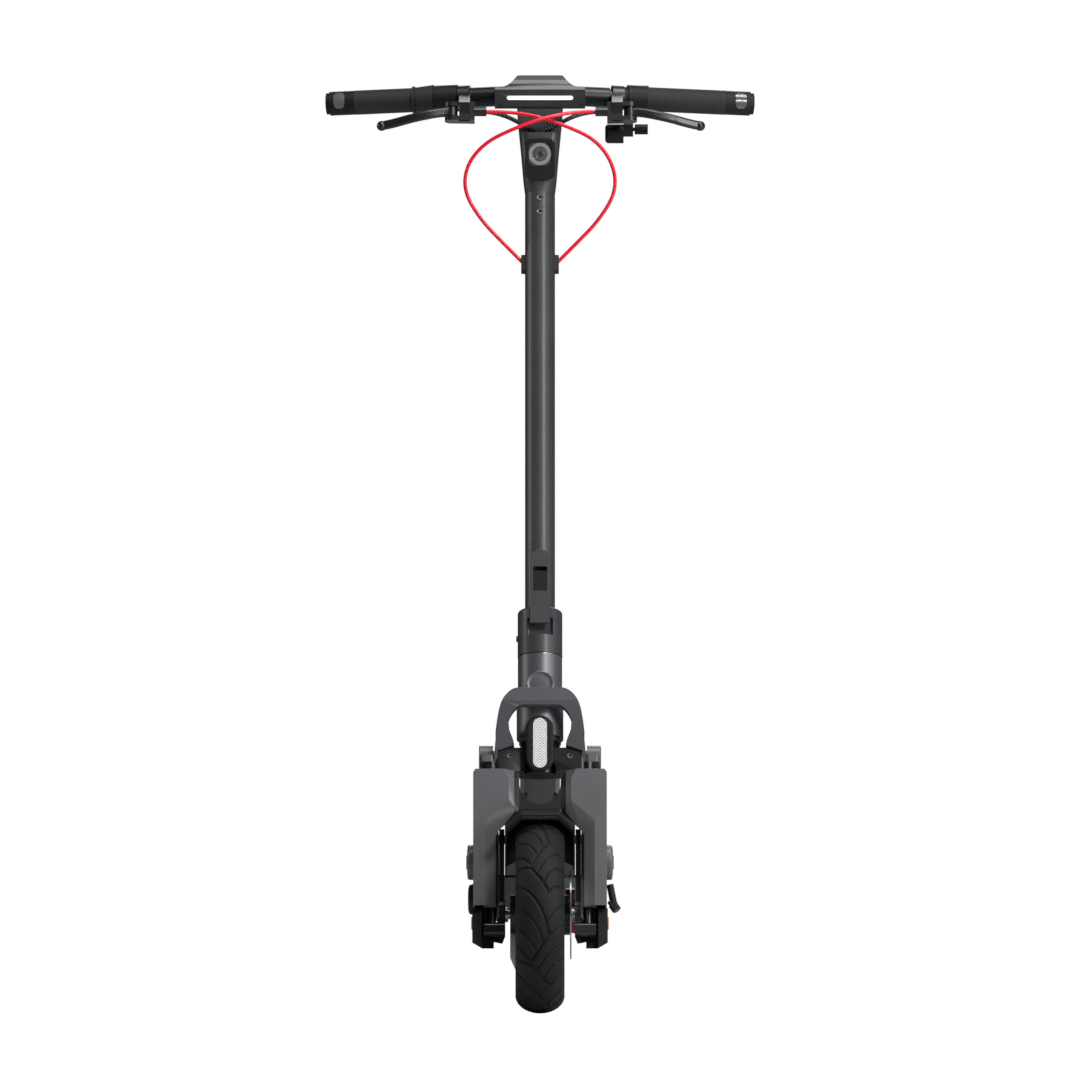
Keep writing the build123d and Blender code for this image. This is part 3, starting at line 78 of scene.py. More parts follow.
def linear(hexColour, alpha=1.0):
    parts = [int(hexColour[i:i + 2], 16) / 255 for i in (1, 3, 5)]
    return tuple(c / 12.92 if c <= 0.04045 else ((c + 0.055) / 1.055) ** 2.4 for c in parts) + (alpha,)


def addNode(tree, kind, settings=None, links=None):
    node = tree.nodes.new(kind)
    for name, value in (settings or {}).items():
        if hasattr(node, name):
            setattr(node, name, value)
        else:
            node.inputs[name].default_value = value
    for name, socket in (links or {}).items():
        tree.links.new(socket, node.inputs[name])
    return node


noise = {"patchDetail": 4.0, "grainDetail": 2.0, "driftFrom": 0.35, "driftTo": 0.65, "grainRise": 0.4}


def colourSockets(sockets):
    return [socket for socket in sockets if socket.type == "RGBA"]


def makeMaterial(name, shader, base, shade=None, patchMm=60, grainMm=0.5, grain=0.1, rough=(0.4, 0.5),
                 stretch=(1, 1, 1)):
    # broad colour drift over patches, fine grain in the relief, and roughness that follows the grain
    made = bpy.data.materials.new(name)
    made.use_nodes = True
    tree = made.node_tree
    surface = tree.nodes["Principled BSDF"]
    for key, value in shader.items():
        surface.inputs[key].default_value = value
    place = addNode(tree, "ShaderNodeTexCoord")
    mapped = addNode(tree, "ShaderNodeMapping", {"Scale": stretch}, {"Vector": place.outputs["Object"]})
    patches = addNode(tree, "ShaderNodeTexNoise", {"Scale": 1000 / patchMm, "Detail": noise["patchDetail"]},
                      {"Vector": place.outputs["Object"]})
    fine = addNode(tree, "ShaderNodeTexNoise", {"Scale": 500 / grainMm, "Detail": noise["grainDetail"]},
                   {"Vector": mapped.outputs["Vector"]})
    tone = addNode(tree, "ShaderNodeMapRange",
                   {"From Min": noise["driftFrom"], "From Max": noise["driftTo"]},
                   {"Value": patches.outputs["Fac"]})
    colour = addNode(tree, "ShaderNodeMix", {"data_type": "RGBA"}, {"Factor": tone.outputs["Result"]})
    for socket, value in zip(colourSockets(colour.inputs), (base, shade or base)):
        socket.default_value = linear(value)
    tree.links.new(colourSockets(colour.outputs)[0], surface.inputs["Base Color"])
    roughness = addNode(tree, "ShaderNodeMapRange", {"To Min": rough[0], "To Max": rough[1]},
                        {"Value": fine.outputs["Fac"]})
    tree.links.new(roughness.outputs["Result"], surface.inputs["Roughness"])
    relief = addNode(tree, "ShaderNodeBump",
                     {"Strength": grain, "Distance": grainMm * mm * noise["grainRise"]},
                     {"Height": fine.outputs["Fac"]})
    tree.links.new(relief.outputs["Normal"], surface.inputs["Normal"])
    return made, tree, surface, place, relief


def plain(name, shader, **look):
    return makeMaterial(name, shader, **look)[0]


# Powder-coated aluminium: nearly matte charcoal with fine orange peel
powderCoat = plain("powderCoatCharcoal", {"Metallic": 0.0, "Coat Weight": 0.08}, base="#37383b",
                   shade="#333437", grainMm=0.9, grain=0.18, rough=(0.42, 0.54))
# Metallic lacquer: bright flecks under a satin clear coat, so the tube shows a soft upright glow
metallicGrey = plain("metallicGreyLacquer", {"Metallic": 0.55, "Coat Weight": 0.25, "Coat Roughness": 0.3},
                     base="#66686b", shade="#5e6063", grainMm=0.35, grain=0.08, rough=(0.36, 0.5))
# Satin injection-moulded ABS, mid grey: even, faintly grained
greyAbs = plain("satinGreyAbs", {"Coat Weight": 0.05}, base="#5c5d60", shade="#575859", grainMm=0.5,
                grain=0.12, rough=(0.38, 0.48))
# Grained black ABS: dull and very dark
blackAbs = plain("grainedBlackAbs", {"Specular IOR Level": 0.3}, base="#101011", shade="#0d0d0e",
                 grainMm=0.7, grain=0.3, rough=(0.48, 0.66))
# Satin black paint on cast levers and castings
satinBlack = plain("satinBlackPaint", {"Coat Weight": 0.2, "Coat Roughness": 0.25}, base="#131415",
                   shade="#101011", grainMm=0.8, grain=0.12, rough=(0.32, 0.46))
# Dark grey satin paint on the crown and the guard over it
darkGreyPaint = plain("darkGreySatinPaint", {"Coat Weight": 0.15, "Coat Roughness": 0.3}, base="#515256",
                      shade="#4b4c50", grainMm=0.7, grain=0.12, rough=(0.38, 0.5))
# Black anodised aluminium: dark metal with fine drawn lines round the tube
blackAnodised = plain("blackAnodisedAluminium", {"Metallic": 0.9}, base="#3a3b3e", shade="#333437",
                      grainMm=0.5, grain=0.1, rough=(0.34, 0.46), stretch=(1, 0.08, 0.08))
# Moulded EPDM rubber: matte, dusty black
mouldedRubber = plain("mouldedRubber", {}, base="#161617", shade="#1b1b1c", grainMm=0.6, grain=0.25,
                      rough=(0.66, 0.84))
# Tyre rubber: matte near-black, slightly lighter where the mould release wore off
tyreRubber = plain("tyreRubber", {"Specular IOR Level": 0.3}, base="#121213", shade="#171718", patchMm=25,
                   grainMm=0.8, grain=0.3, rough=(0.58, 0.78))
# Zinc-plated steel: bright, slightly patchy
zincSteel = plain("zincPlatedSteel", {"Metallic": 1.0}, base="#a9a9a6", shade="#979793", patchMm=8,
                  grainMm=0.3, grain=0.06, rough=(0.24, 0.4))
# Ground stainless brake disc: fine grinding lines
groundSteel = plain("groundStainless", {"Metallic": 1.0}, base="#9c9d9e", shade="#8d8e90", patchMm=15,
                    grainMm=0.4, grain=0.12, rough=(0.2, 0.4), stretch=(1, 6, 1))
# Glossy red paint on the calipers
redPaint = plain("redCaliperPaint", {"Coat Weight": 0.4}, base="#c3101a", shade="#ad0c15", grainMm=0.6,
                 grain=0.08, rough=(0.3, 0.42))
# Extruded PVC cable jacket, vivid red and slightly waxy
redJacket = plain("redPvcJacket", {"Subsurface Weight": 0.05, "Coat Weight": 0.15}, base="#f2002e",
                  shade="#e00029", patchMm=30, grainMm=0.5, grain=0.05, rough=(0.34, 0.44))
# Cast aluminium with a tumbled skin
castAluminium = plain("tumbledCastAluminium", {"Metallic": 1.0}, base="#7e7f80", shade="#6c6d6f", patchMm=10,
                      grainMm=1.2, grain=0.3, rough=(0.4, 0.6))
# Battery shrink film: glossy blue over ridged cells
shrinkFilm = plain("blueShrinkFilm", {"Coat Weight": 0.5}, base="#1c3f72", shade="#183866", grainMm=2.0,
                   grain=0.3, rough=(0.25, 0.4))
# Anodised deck extrusion
deckMetal = plain("anodisedDeckExtrusion", {"Metallic": 0.8}, base="#333437", shade="#2e2f31", grainMm=0.5,
                  grain=0.1, rough=(0.36, 0.5), stretch=(1, 0.05, 1))
# Clear red and smoked polycarbonate lenses, moulded with small prisms
redLens = plain("redPolycarbonateLens", {"Coat Weight": 0.8, "Transmission Weight": 0.2}, base="#a30a10",
                shade="#8c070d", grainMm=2.2, grain=0.5, rough=(0.1, 0.2))
smokedLens = plain("smokedPolycarbonateLens", {"Coat Weight": 0.7, "Transmission Weight": 0.1},
                   base="#4b4d50", shade="#6a6c70", grainMm=2.0, grain=0.5, rough=(0.12, 0.24))
# Amber polycarbonate reflectors on the sides
amberLens = plain("amberPolycarbonateLens", {"Coat Weight": 0.7, "Transmission Weight": 0.1}, base="#d98a1f",
                  shade="#c47614", grainMm=2.0, grain=0.5, rough=(0.12, 0.24))
# Opal diffuser over the light strip
opalDiffuser = plain("opalDiffuser", {"Emission Color": linear("#ffffff"), "Emission Strength": 0.35,
                                      "Coat Weight": 0.5}, base="#f4f4f2", shade="#ecece9", grainMm=0.8,
                     grain=0.05, rough=(0.2, 0.3))
# Chromed reflector bowl with a faint painted glow standing in for its reflections
chromeBowlPaintedGlow = plain("vacuumChromePaintedGlow", {"Metallic": 1.0, "Emission Color": linear("#ffffff"),
                                    "Emission Strength": 0.22}, base="#d8dadc", shade="#c9cbce", patchMm=6,
                   grainMm=1.5, grain=0.1, rough=(0.06, 0.14))
# Clear polycarbonate cover
clearCover = plain("clearPolycarbonate", {"Transmission Weight": 0.9, "Coat Weight": 0.6, "IOR": 1.58},
                   base="#eef2f5", shade="#e6ebef", grainMm=3.0, grain=0.03, rough=(0.02, 0.06))
# Satin graphite pod moulding
podAbs = plain("graphitePodAbs", {"Coat Weight": 0.15}, base="#2c2d30", shade="#28292b", grainMm=0.5,
               grain=0.12, rough=(0.36, 0.48))


def banded(name, shader, base, dark, mapping, pitchMm, relief, rough):
    # a surface with straight moulded bands one pitch apart, along the given mapped direction, with painted
    # light and shade across each band
    made, tree, surface, place, bump = makeMaterial(name, shader, base, dark, rough=rough)
    split = addNode(tree, "ShaderNodeSeparateXYZ", {}, {"Vector": place.outputs["Object"]})
    terms = []
    for axis, weight, folded in mapping:
        socket = split.outputs[axis]
        if folded:
            socket = addNode(tree, "ShaderNodeMath", {"operation": "ABSOLUTE"}).outputs[0]
            tree.links.new(split.outputs[axis], socket.node.inputs[0])
        scaled = addNode(tree, "ShaderNodeMath", {"operation": "MULTIPLY"})
        tree.links.new(socket, scaled.inputs[0])
        scaled.inputs[1].default_value = weight * 2 * math.pi * 1000 / pitchMm
        terms.append(scaled.outputs[0])
    total = terms[0]
    for term in terms[1:]:
        added = addNode(tree, "ShaderNodeMath", {"operation": "ADD"})
        tree.links.new(total, added.inputs[0])
        tree.links.new(term, added.inputs[1])
        total = added.outputs[0]
    wave = addNode(tree, "ShaderNodeMath", {"operation": "SINE"})
    tree.links.new(total, wave.inputs[0])
    bands = addNode(tree, "ShaderNodeBump", {"Strength": relief, "Distance": pitchMm * mm * 0.25},
                    {"Height": wave.outputs[0], "Normal": bump.outputs["Normal"]})
    tree.links.new(bands.outputs["Normal"], surface.inputs["Normal"])
    # the colour follows the same wave: the base colour in the hollows and the second colour on the crests,
    # painted light and shade
    tone = addNode(tree, "ShaderNodeMapRange", {"From Min": -1.0, "From Max": 1.0},
                   {"Value": wave.outputs[0]})
    mixer = [n for n in tree.nodes if n.bl_idname == "ShaderNodeMix"][0]
    tree.links.new(tone.outputs["Result"], mixer.inputs["Factor"])
    return made


# White prismatic reflector: ribs in a herringbone about the middle line, with painted highlights on the rib
# crests and a faint painted glow
prismWhite = banded("whitePrismReflector", {"Coat Weight": 0.8, "Emission Color": linear("#ffffff"),
                                            "Emission Strength": 0.04},
                    "#b9babc", "#fbfbfa", [("X", 0.9, True), ("Z", 1.0, False)], 3.6, 0.6, (0.12, 0.2))
# Ribbed deck rubber, with painted shade on the rib crests
ribbedMat = banded("ribbedDeckRubber", {}, "#1f1f20", "#141415", [("X", 1.0, False)], 8.0, 0.8, (0.7, 0.85))
# Grip rubber with shallow rings round the bar, with painted shade on the ring crests
gripRubber = banded("ringedGripRubber", {}, "#1b1b1c", "#171718", [("X", 1.0, False)], 2.6, 0.25,
                    (0.6, 0.76))
# Spiral plastic wrap round the harness, with painted shade on the crests of its turns
spiralWrap = banded("spiralWrap", {"Coat Weight": 0.2}, "#252526", "#0e0e0f", [("X", 1.0, False),
                    ("Z", 0.7, False)], 4.5, 0.9, (0.35, 0.5))

# The shrouds: grey between the outer edge and the raised panel's border, black inward of it, partly their
# black moulding and partly painted shade on the inward-facing walls. The border runs upright at bottomX,
# slants inward from bottomZ to topZ, and is upright again at topX, in metres.
panel = {"topZ": 0.273, "bottomZ": 0.242, "topX": 0.035, "bottomX": 0.060, "inside": "#121213"}


def twoToneWithPaintedShade(name, shader, base, shade, **look):
    made, tree, surface, place, _ = makeMaterial(name, shader, base, shade, **look)
    axes = addNode(tree, "ShaderNodeSeparateXYZ", {}, {"Vector": place.outputs["Object"]})
    aside = addNode(tree, "ShaderNodeMath", {"operation": "ABSOLUTE"})
    tree.links.new(axes.outputs["X"], aside.inputs[0])
    border = addNode(tree, "ShaderNodeMapRange",
                     {"From Min": panel["bottomZ"], "From Max": panel["topZ"], "To Min": panel["bottomX"],
                      "To Max": panel["topX"]}, {"Value": axes.outputs["Z"]})
    within = addNode(tree, "ShaderNodeMath", {"operation": "LESS_THAN"})
    tree.links.new(aside.outputs[0], within.inputs[0])
    tree.links.new(border.outputs["Result"], within.inputs[1])
    # inward of the border the colour is the near-black inside one: black moulding with painted shade on the
    # inward-facing walls
    blend = addNode(tree, "ShaderNodeMix", {"data_type": "RGBA"}, {"Factor": within.outputs[0]})
    outer, inner = colourSockets(blend.inputs)
    tree.links.new(surface.inputs["Base Color"].links[0].from_socket, outer)
    inner.default_value = linear(panel["inside"])
    tree.links.new(colourSockets(blend.outputs)[0], surface.inputs["Base Color"])
    return made


shroudAbs = twoToneWithPaintedShade("shroudAbsBlackAndPaintedShade", {"Coat Weight": 0.05}, "#5c5d60", "#575859", grain=0.12,
                     rough=(0.38, 0.48))

wearing = {
    powderCoat: ["tail_frame", "hinge_collar", "stem_tube", "stem_neck", "latch_plate"],
    metallicGrey: ["main_frame"],
    shroudAbs: ["shroud_right", "shroud_left"],
    blackAbs: ["bottom_cover", "rear_fender", "reflector_frame", "front_fender",
               "headlight_housing", "bar_ends", "control_housings", "bell_body", "bell_striker",
               "latch_slider"],
    darkGreyPaint: ["fork", "guard_arch"],
    satinBlack: ["fork_lowers", "damper_rods", "front_rim", "motor_hub", "lever_mounts", "lever_right",
                 "lever_left"],
    blackAnodised: ["handlebar"],
    mouldedRubber: ["signal_switch", "power_button", "charge_cap", "stem_fittings"],
    tyreRubber: ["front_tyre", "rear_tyre"],
    zincSteel: ["headset_bearings", "rear_axle", "hinge_pin", "front_axle",
                "wheel_bearings"],
    groundSteel: ["front_rotor", "rear_rotor"],
    redPaint: ["rear_caliper", "front_caliper"],
    redJacket: ["brake_cable_left", "brake_cable_right"],
    castAluminium: ["motor_controller", "kickstand"],
    shrinkFilm: ["battery_pack"],
    deckMetal: ["deck_shell"],
    redLens: ["tail_light"],
    smokedLens: ["signal_lenses"],
    opalDiffuser: ["light_strip"],
    clearCover: ["headlight_lens"],
    podAbs: ["display_pod"],
    prismWhite: ["front_reflector"],
    ribbedMat: ["deck_mat"],
    gripRubber: ["grips", "throttle_sleeve"],
    spiralWrap: ["harness_right", "harness_left"],
}
for material, names in wearing.items():
    for name in names:
        data = nodes[name].data
        data.materials.clear()
        data.materials.append(material)
worn = {name for names in wearing.values() for name in names}
print("materials made; bare nodes:", sorted(set(nodes) - worn))


# Pieces


def finishPiece(name, mesh, body, material, sharpDegrees=35):
    piece = bpy.data.objects.new(name, mesh)
    bpy.context.collection.objects.link(piece)
    mesh.materials.clear()
    mesh.materials.append(material)
    mesh.shade_smooth()
    mesh.set_sharp_from_angle(angle=math.radians(sharpDegrees))
    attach(piece, body)
    return piece


def fromBmesh(name, shape, body, material, sharpDegrees=35):
    bmesh.ops.remove_doubles(shape, verts=shape.verts, dist=0.00001)
    bmesh.ops.recalc_face_normals(shape, faces=shape.faces)
    mesh = bpy.data.meshes.new(name)
    shape.to_mesh(mesh)
    shape.free()
    return finishPiece(name, mesh, body, material, sharpDegrees)


bodyOf = {node: body for body, members in frame["record"]["behaviour"]["bodies"].items()
          for node in members}
rounding = {"merge": 0.00002, "flatDegrees": 1.0, "sharpDegrees": 30, "edgeDegrees": 28, "segments": 3}


def softened(node, material, widthMm, second=None, isSecond=None):
    # the CAD shape with its flat facets joined and its edges rounded as a mould would
    shape = bmesh.new()
    shape.from_mesh(nodes[node].data)
    bmesh.ops.remove_doubles(shape, verts=shape.verts, dist=rounding["merge"])
    bmesh.ops.dissolve_limit(shape, angle_limit=math.radians(rounding["flatDegrees"]), verts=shape.verts,
                             edges=shape.edges)
    mesh = bpy.data.meshes.new(node + "_soft")
    shape.to_mesh(mesh)
    shape.free()
    piece = finishPiece(node + "_soft", mesh, bodyOf[node], material,
                        rounding["sharpDegrees"])
    if second:
        mesh.materials.append(second)
        for face in mesh.polygons:
            spot = toFork @ face.center
            face.material_index = int(isSecond(abs(spot.x) / mm, spot.y / mm, spot.z / mm))
    bevel = piece.modifiers.new("edges", "BEVEL")
    bevel.width = widthMm * mm
    bevel.segments = rounding["segments"]
    bevel.limit_method = "ANGLE"
    bevel.angle_limit = math.radians(rounding["edgeDegrees"])
    bevel.harden_normals = True
    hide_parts(node)
    return piece


def lathe(name, outline, matrix, body, material, steps=64, sharpDegrees=35):
    # outline: (radius, height) pairs in millimetres, turned about the matrix's Z
    shape = bmesh.new()
    corners = [shape.verts.new((r * mm, 0, z * mm)) for r, z in outline]
    for a, b in zip(corners, corners[1:]):
        shape.edges.new((a, b))
    bmesh.ops.spin(shape, geom=shape.verts[:] + shape.edges[:], cent=(0, 0, 0), axis=(0, 0, 1),
                   angle=math.tau, steps=steps, use_merge=True)
    bmesh.ops.transform(shape, matrix=matrix, verts=shape.verts)
    return fromBmesh(name, shape, body, material, sharpDegrees)


def facing(origin, normal):
    return Matrix.Translation(origin) @ Vector(normal).to_track_quat("Z", "Y").to_matrix().to_4x4()


# Cords: the same corners as the solids' routes

cordSets = {
    "brake_cable_left": (5.0, 361.0, [(75, 272, 1222), (50, 272, 1222), (9, 256, 1215), (-34, 254, 1200),
                         (-75, 256, 1180), (-100, 258, 1149), (-103, 259, 1113), (-80, 258, 1075),
                         (-50, 257, 1044), (-23.3, 256.5, 1017.4)], redJacket),
    "brake_cable_right": (5.0, 358.8, [(-72.5, 272, 1222), (-47, 272, 1222), (-8, 266, 1217),
                          (35, 262, 1203), (76, 260, 1184), (100, 259, 1150), (103, 259, 1113),
                          (80, 258, 1075), (50, 257, 1044), (23.3, 256.5, 1017.4)], redJacket),
    "harness_right": (6.0, 93.8, [(88, 300, 1222), (68, 300, 1222), (46, 291, 1216), (30, 286, 1208),
                      (18, 288, 1201), (4.5, 298, 1196)], spiralWrap),
    "harness_left": (6.0, 93.8, [(-88, 300, 1222), (-68, 300, 1222), (-46, 291, 1216), (-30, 286, 1208),
                     (-18, 288, 1201), (-4.5, 298, 1196)], spiralWrap),
}


def openCurve(name, points, diameterMm):
    data = bpy.data.curves.new(name, "CURVE")
    data.dimensions = "3D"
    data.resolution_u = 12
    data.bevel_depth = diameterMm * mm / 2
    data.bevel_resolution = 6
    data.use_fill_caps = True
    line = data.splines.new("NURBS")
    line.points.add(len(points) - 1)
    for corner, point in zip(line.points, points):
        corner.co = standing(*point).to_4d()
    line.order_u = 3
    line.use_endpoint_u = True
    piece = bpy.data.objects.new(name, data)
    bpy.context.collection.objects.link(piece)
    return piece


for node, (diameterMm, lengthMm, points, jacket) in cordSets.items():
    piece = openCurve(node + "_cord", points, diameterMm)
    piece.data.materials.append(jacket)
    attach(piece, "stem")
    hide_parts(node)
print("cords laid")


# Rounded copies of the moulded and cast parts, with each edge's width in millimetres

softWidths = {
    "display_pod": (podAbs, 1.8),
    "headlight_housing": (blackAbs, 1.0), "latch_plate": (powderCoat, 1.0), "fork_lowers": (satinBlack, 0.8),
    "front_fender": (blackAbs, 0.6), "guard_arch": (darkGreyPaint, 2.4), "tail_frame": (powderCoat, 1.0),
    "shroud_right": (shroudAbs, 1.6), "shroud_left": (shroudAbs, 1.6),
}
for node, (material, widthMm) in softWidths.items():
    softened(node, material, widthMm)
# the crown is black, partly its satin black paint and partly painted shade in its circular recess, and its
# barrels, out past the legs, are grey
barrels = {"side": 62, "along": 204}
softened("fork", satinBlack, 1.2, greyAbs,
         lambda side, back, along: side > barrels["side"] and along > barrels["along"])
print("moulded parts rounded")


# Tyres with their tread cut into the surface

tread = {"period": 6, "perPeriod": 100, "steps": 5, "across": 72, "halfWidth": 33.3,
         "crown": scooter["axleZ"], "depth": 2.2, "slope": 0.8, "cutAbove": 112, "cutTowards": 105}
# The carcass: an arc of this radius, turned this far each way from the crown, closed by a bead (x, radius)
carcass = {"radius": 24, "sweepDegrees": 100, "tuck": 0.995, "bead": [(26.5, 92), (25.0, 82.5), (18, 84)]}
# Groove lines over one period: each has (side, step) corners and half its width in millimetres. side runs
# from -1 to 1 over the tread and step from 0 to 5 round one period.
thick, thin = 0.95, 0.3
grooves = [
    ([(-0.95, 0.0), (-0.6, 0.04), (-0.38, 0.12)], thick),
    ([(0.97, 3.09), (0.69, 3.3), (0.34, 3.6), (0.05, 4.04), (-0.18, 4.5), (-0.38, 4.95)], thick),
    ([(-0.38, 0.1), (-0.25, 0.33), (0.03, 0.71), (0.24, 1.09), (0.36, 1.39)], thick),
    ([(0.36, 1.39), (0.6, 1.09), (0.97, 0.98)], thick),
    ([(-0.97, 0.98), (-0.66, 1.17), (-0.33, 1.53), (0.0, 2.08), (0.2, 2.62), (0.38, 3.5)], thick),
    ([(-0.97, 2.02), (-0.54, 2.46)], thick),
    ([(-0.54, 2.46), (-0.21, 2.9), (0.0, 3.33), (0.1, 3.8)], thin),
    ([(-0.97, 3.09), (-0.66, 3.42)], thick),
    ([(-0.66, 3.42), (-0.4, 3.78), (-0.13, 4.3)], thin),
    ([(-0.97, 4.13), (-0.66, 4.48), (-0.38, 4.9)], thick),
    ([(0.97, 0.03), (0.65, 0.05)], thick),
    ([(0.65, 0.05), (0.36, 0.38), (0.16, 0.85)], thin),
    ([(0.97, 2.02), (0.69, 2.25)], thick),
    ([(0.69, 2.25), (0.32, 2.79), (0.26, 2.9)], thin),
    ([(0.97, 4.13), (0.6, 4.2)], thick),
    ([(0.6, 4.2), (0.25, 4.6), (-0.1, 5.3)], thin),
]


def distanceTo(line, side, turn):
    # nearest distance in millimetres from a place on the tread to a groove's corners
    wide, long = tread["halfWidth"], math.tau * tread["crown"] / tread["period"]
    best = math.inf
    for (sideA, stepA), (sideB, stepB) in zip(line, line[1:]):
        a = Vector((sideA * wide, stepA / tread["steps"] * long))
        b = Vector((sideB * wide, stepB / tread["steps"] * long))
        p = Vector((side * wide, turn * long))
        part = min(max((p - a).dot(b - a) / (b - a).length_squared, 0), 1)
        best = min(best, (p - a - (b - a) * part).length)
    return best


def treadCut(turn, side):
    # how deep the tread is cut at one place, from 0 to 1
    deep = 0.0
    for line, halfMm in grooves:
        for lap in (-1, 0, 1):
            near = distanceTo(line, side, turn + lap)
            deep = max(deep, 1 - (near - halfMm) / tread["slope"])
    return min(max(deep, 0), 1)


def makeTyre(name, node, centreY, body):
    shape = bmesh.new()
    profile = []
    for step in range(tread["across"] + 1):
        part = -1 + 2 * step / tread["across"]
        angle = part * math.radians(carcass["sweepDegrees"])
        x = tread["halfWidth"] * math.sin(angle) * (1 if abs(angle) < math.pi / 2 else carcass["tuck"])
        profile.append((x, tread["crown"] - carcass["radius"] * (1 - math.cos(angle))))
    mirrored = [(-x, radius) for x, radius in reversed(carcass["bead"])]
    section = mirrored + profile + carcass["bead"]
    corners = [shape.verts.new((x * mm, 0, radius * mm)) for x, radius in section]
    for a, b in zip(corners, corners[1:] + corners[:1]):
        shape.edges.new((a, b))
    steps = tread["period"] * tread["perPeriod"]
    bmesh.ops.spin(shape, geom=shape.verts[:] + shape.edges[:], cent=(0, 0, 0), axis=(1, 0, 0),
                   angle=math.tau, steps=steps, use_merge=True)
    known = {}
    for vert in shape.verts:
        radius = math.hypot(vert.co.y, vert.co.z)
        side = vert.co.x / (tread["halfWidth"] * mm)
        if radius > tread["cutAbove"] * mm:
            turns = math.atan2(-vert.co.y, vert.co.z) / math.tau * tread["period"] % 1
            key = (round(turns * tread["perPeriod"]) % tread["perPeriod"], round(side, 3))
            if key not in known:
                known[key] = treadCut(key[0] / tread["perPeriod"], side)
            cut = known[key] * tread["depth"] * mm
            over = 1 - tread["cutTowards"] * mm / radius
            inward = Vector((vert.co.x, vert.co.y * over, vert.co.z * over))
            vert.co -= inward.normalized() * cut
    bmesh.ops.translate(shape, verts=shape.verts, vec=(0, centreY * mm, scooter["axleZ"] * mm))
    piece = fromBmesh(name, shape, body, tyreRubber, 50)
    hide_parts(node)
    return piece


makeTyre("front_tyre_tread", "front_tyre", scooter["axleY"], "front_wheel")
makeTyre("rear_tyre_tread", "rear_tyre", scooter["rearY"], "rear_wheel")
print("tyres cut")

# Screws, caps and small fittings


def socketScrew(name, origin, normal, radiusMm, body, material):
    outline = [(0, -1.2), (radiusMm * 0.5, -1.2), (radiusMm * 0.55, 0.3), (radiusMm * 0.9, 0.4),
               (radiusMm, 0), (radiusMm, -2)]
    return lathe(name, outline, facing(origin, normal), body, material, steps=24)


screws = {"crown": (40.6, -22.6, 218.1), "cover": (20.1, -26.4, 161.5), "pod": (54, 295.9, 1231),
          "radius": 4.0, "podRadius": 2.4, "stemRadius": 4.1, "stemHeights": (1106, 1087),
          "stemBack": -20.9, "stemFace": 20.33}
forward = leanFrame.to_3x3() @ Vector((0, -1, 0))
towardCamera = (0, -1, 0)
for side, word in ((-1, "left"), (1, "right")):
    x, back, along = screws["crown"]
    socketScrew("crown_screw_" + word, leaned(side * x, back, along), forward, screws["radius"],
                "steering", zincSteel)
    x, back, along = screws["cover"]
    socketScrew("cover_screw_" + word, leaned(side * x, back, along), forward, screws["radius"],
                "carriage", satinBlack)
    x, behind, height = screws["pod"]
    socketScrew("pod_screw_" + word, standing(side * x, behind, height), towardCamera,
                screws["podRadius"], "stem", satinBlack)
lean = math.radians(scooter["leanDegrees"])
for index, height in enumerate(screws["stemHeights"]):
    # where the stem's front face is at this height above the floor
    along = (height - scooter["axleZ"] - screws["stemFace"] * math.sin(lean)) / math.cos(lean)
    socketScrew("stem_screw_%d" % index, leaned(0, screws["stemBack"], along), forward,
                screws["stemRadius"], "stem", zincSteel)

# Plain round head badge in place of the maker's
lathe("head_badge", [(0, 2.2), (12, 2.0), (15.5, 1.6), (17.2, 2.4), (18.7, 1.4), (18.7, -1)],
      facing(leaned(0, -30.3, 316.5), forward), "frame", metallicGrey)

# Reflector bowl inside the headlight, with a dark projector in its middle
headlight = {"height": 1164.75, "bowlBehind": 270.5, "lensBehind": 266.0, "lensX": 2}
lathe("headlight_bowl", [(0, -7), (6, -6.5), (10, -4), (13.5, 0), (14.6, 0.6), (15.0, 0)],
      facing(standing(0, headlight["bowlBehind"], headlight["height"]), towardCamera), "stem", chromeBowlPaintedGlow)
lathe("headlight_projector", [(0, 1.5), (4, 1.0), (6.5, -0.5), (7.6, -2.5), (8.0, -5)],
      facing(standing(headlight["lensX"], headlight["lensBehind"], headlight["height"]), towardCamera),
      "stem", podAbs, steps=32)

# Low on the shrouds: a pad on the left of the picture, a wrapped lead with a hexagonal plug on the right,
# and a side reflector and a boss cap on each side
sleeve = {"length": 28, "rings": 18, "pitch": 1.6, "inner": 4.4, "ridge": 0.9}
rings = [(sleeve["inner"] + sleeve["ridge"] * (ring % 2), sleeve["pitch"] * ring)
         for ring in range(sleeve["rings"])]
lathe("shroud_pad", [(0, 6.5), (14, 6.2), (19.5, 4.5), (21, 0), (21, -1)],
      facing(standing(-91.2, 26, 154.5), (-1, 0, 0)), "carriage", blackAbs,
      sharpDegrees=50)
lathe("lead_plug", [(0, 5), (5.2, 5), (6.4, 4), (6.4, -6), (5, -7), (5, -12), (0, -12)],
      facing(standing(102, 22, 143), (0.55, -0.3, -0.8)), "carriage", satinBlack, steps=6)
lathe("lead_sleeve", [(0, 0)] + rings + [(0, sleeve["length"])],
      facing(standing(100, 24, 148), (-0.2, 0.15, 1)), "carriage", blackAbs, steps=20,
      sharpDegrees=60)
sideFittings = {"reflector": (91.7, 6, 122), "boss": (98.2, 20.6, 204.6)}
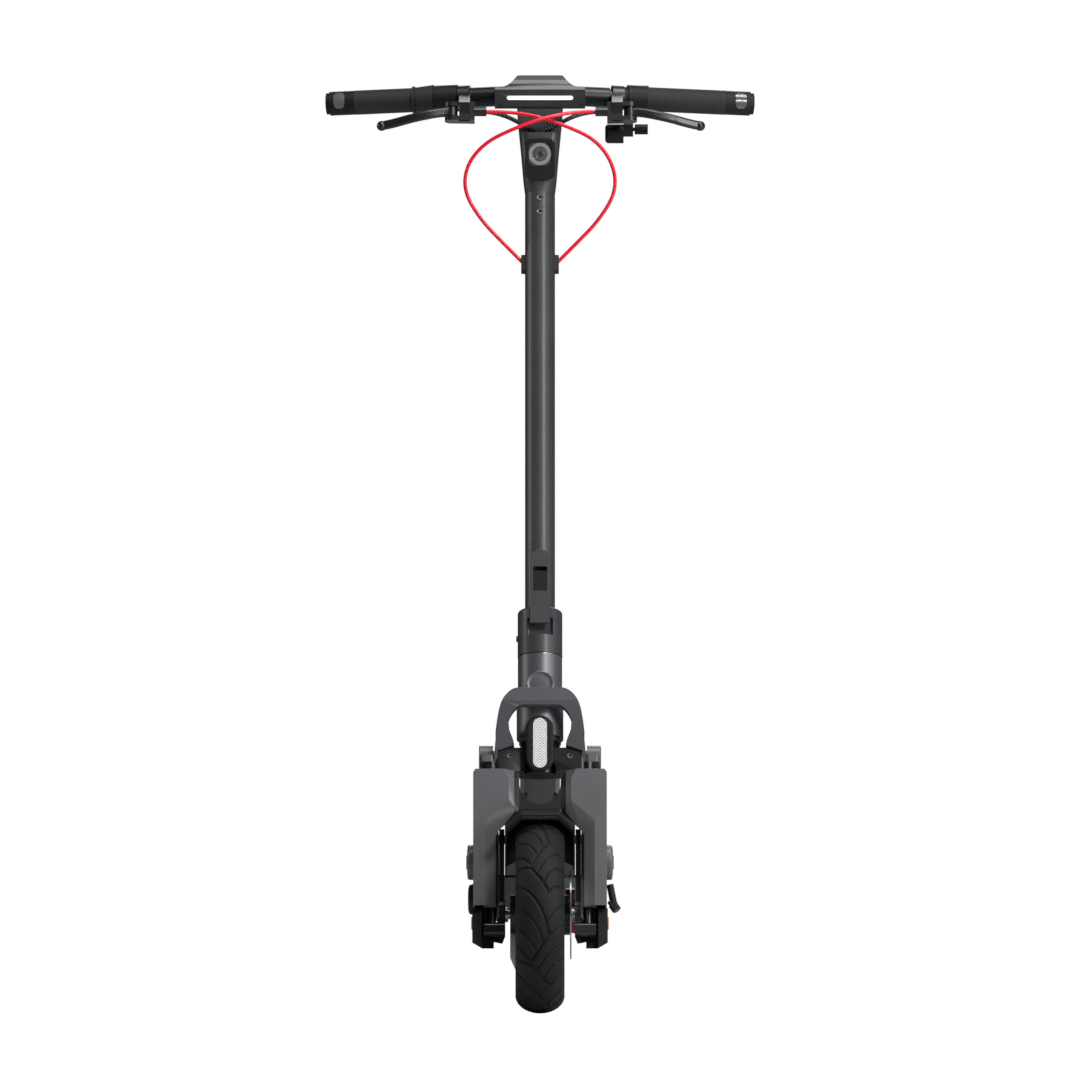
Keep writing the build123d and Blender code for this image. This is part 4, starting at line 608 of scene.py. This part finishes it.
for side, word in ((-1, "right"), (1, "left")):
    x, behind, height = sideFittings["reflector"]
    lathe("side_reflector_" + word, [(0, 1.6), (8, 1.5), (9, 0.6), (9, -0.5)],
          facing(standing(side * x, behind, height), (side, 0, 0)), "carriage", amberLens)
    x, behind, height = sideFittings["boss"]
    lathe("boss_cap_" + word, [(0, 1.8), (9, 1.8), (10, 0.6), (17, 0.6), (18, 0.2), (18, -0.5)],
          facing(standing(side * x, behind, height), (side, 0, 0)), "carriage", darkGreyPaint)
print("fittings placed")

# Floor and light

floorData = bpy.data.meshes.new("floor")
floorShape = bmesh.new()
bmesh.ops.create_grid(floorShape, x_segments=1, y_segments=1, size=6)
floorShape.to_mesh(floorData)
floorShape.free()
floor = bpy.data.objects.new("floor", floorData)
bpy.context.collection.objects.link(floor)
floorData.materials.append(plain("paleFloor", {}, base="#c9c9c9", shade="#c4c4c4", rough=(0.7, 0.8)))

world = bpy.data.worlds.new("studio")
bpy.context.scene.world = world
world.use_nodes = True
# white behind the object, and a nearly dark grey room in its reflections
sky = world.node_tree
backdrop = sky.nodes["Background"]
backdrop.inputs["Color"].default_value = linear("#ffffff")
room = addNode(sky, "ShaderNodeBackground", {"Color": linear("#dfe3e8"), "Strength": 0.035})
rays = addNode(sky, "ShaderNodeLightPath")
both = addNode(sky, "ShaderNodeMixShader", {}, {"Fac": rays.outputs["Is Camera Ray"]})
sky.links.new(room.outputs["Background"], both.inputs[1])
sky.links.new(backdrop.outputs["Background"], both.inputs[2])
sky.links.new(both.outputs["Shader"], sky.nodes["World Output"].inputs["Surface"])
# each lamp: its place and its target in metres, its width in metres and its power in watts
lamps = {
    "topSoft": ((0.3, -0.8, 3.3), (0, -0.2, 0.7), 1.2, 46),
    "frontKey": ((1.5, -2.5, 2.3), (0, -0.4, 0.5), 0.8, 46),
    "rightKey": ((1.3, -1.3, 0.7), (0, -0.4, 0.4), 0.6, 12),
    "leftRim": ((-2.4, -0.2, 1.6), (0, -0.3, 0.6), 0.8, 14),
    "backSoft": ((0.6, 2.6, 2.2), (0, 0.1, 0.3), 2.0, 40),
}
for name, (place, target, size, power) in lamps.items():
    lampData = bpy.data.lights.new(name, "AREA")
    lampData.size = size
    lampData.energy = power
    lamp = bpy.data.objects.new(name, lampData)
    lamp.location = place
    lamp.rotation_euler = (Vector(target) - Vector(place)).to_track_quat("-Z", "Y").to_euler()
    bpy.context.collection.objects.link(lamp)
bpy.context.scene.view_settings.view_transform = "Standard"
print("lit")
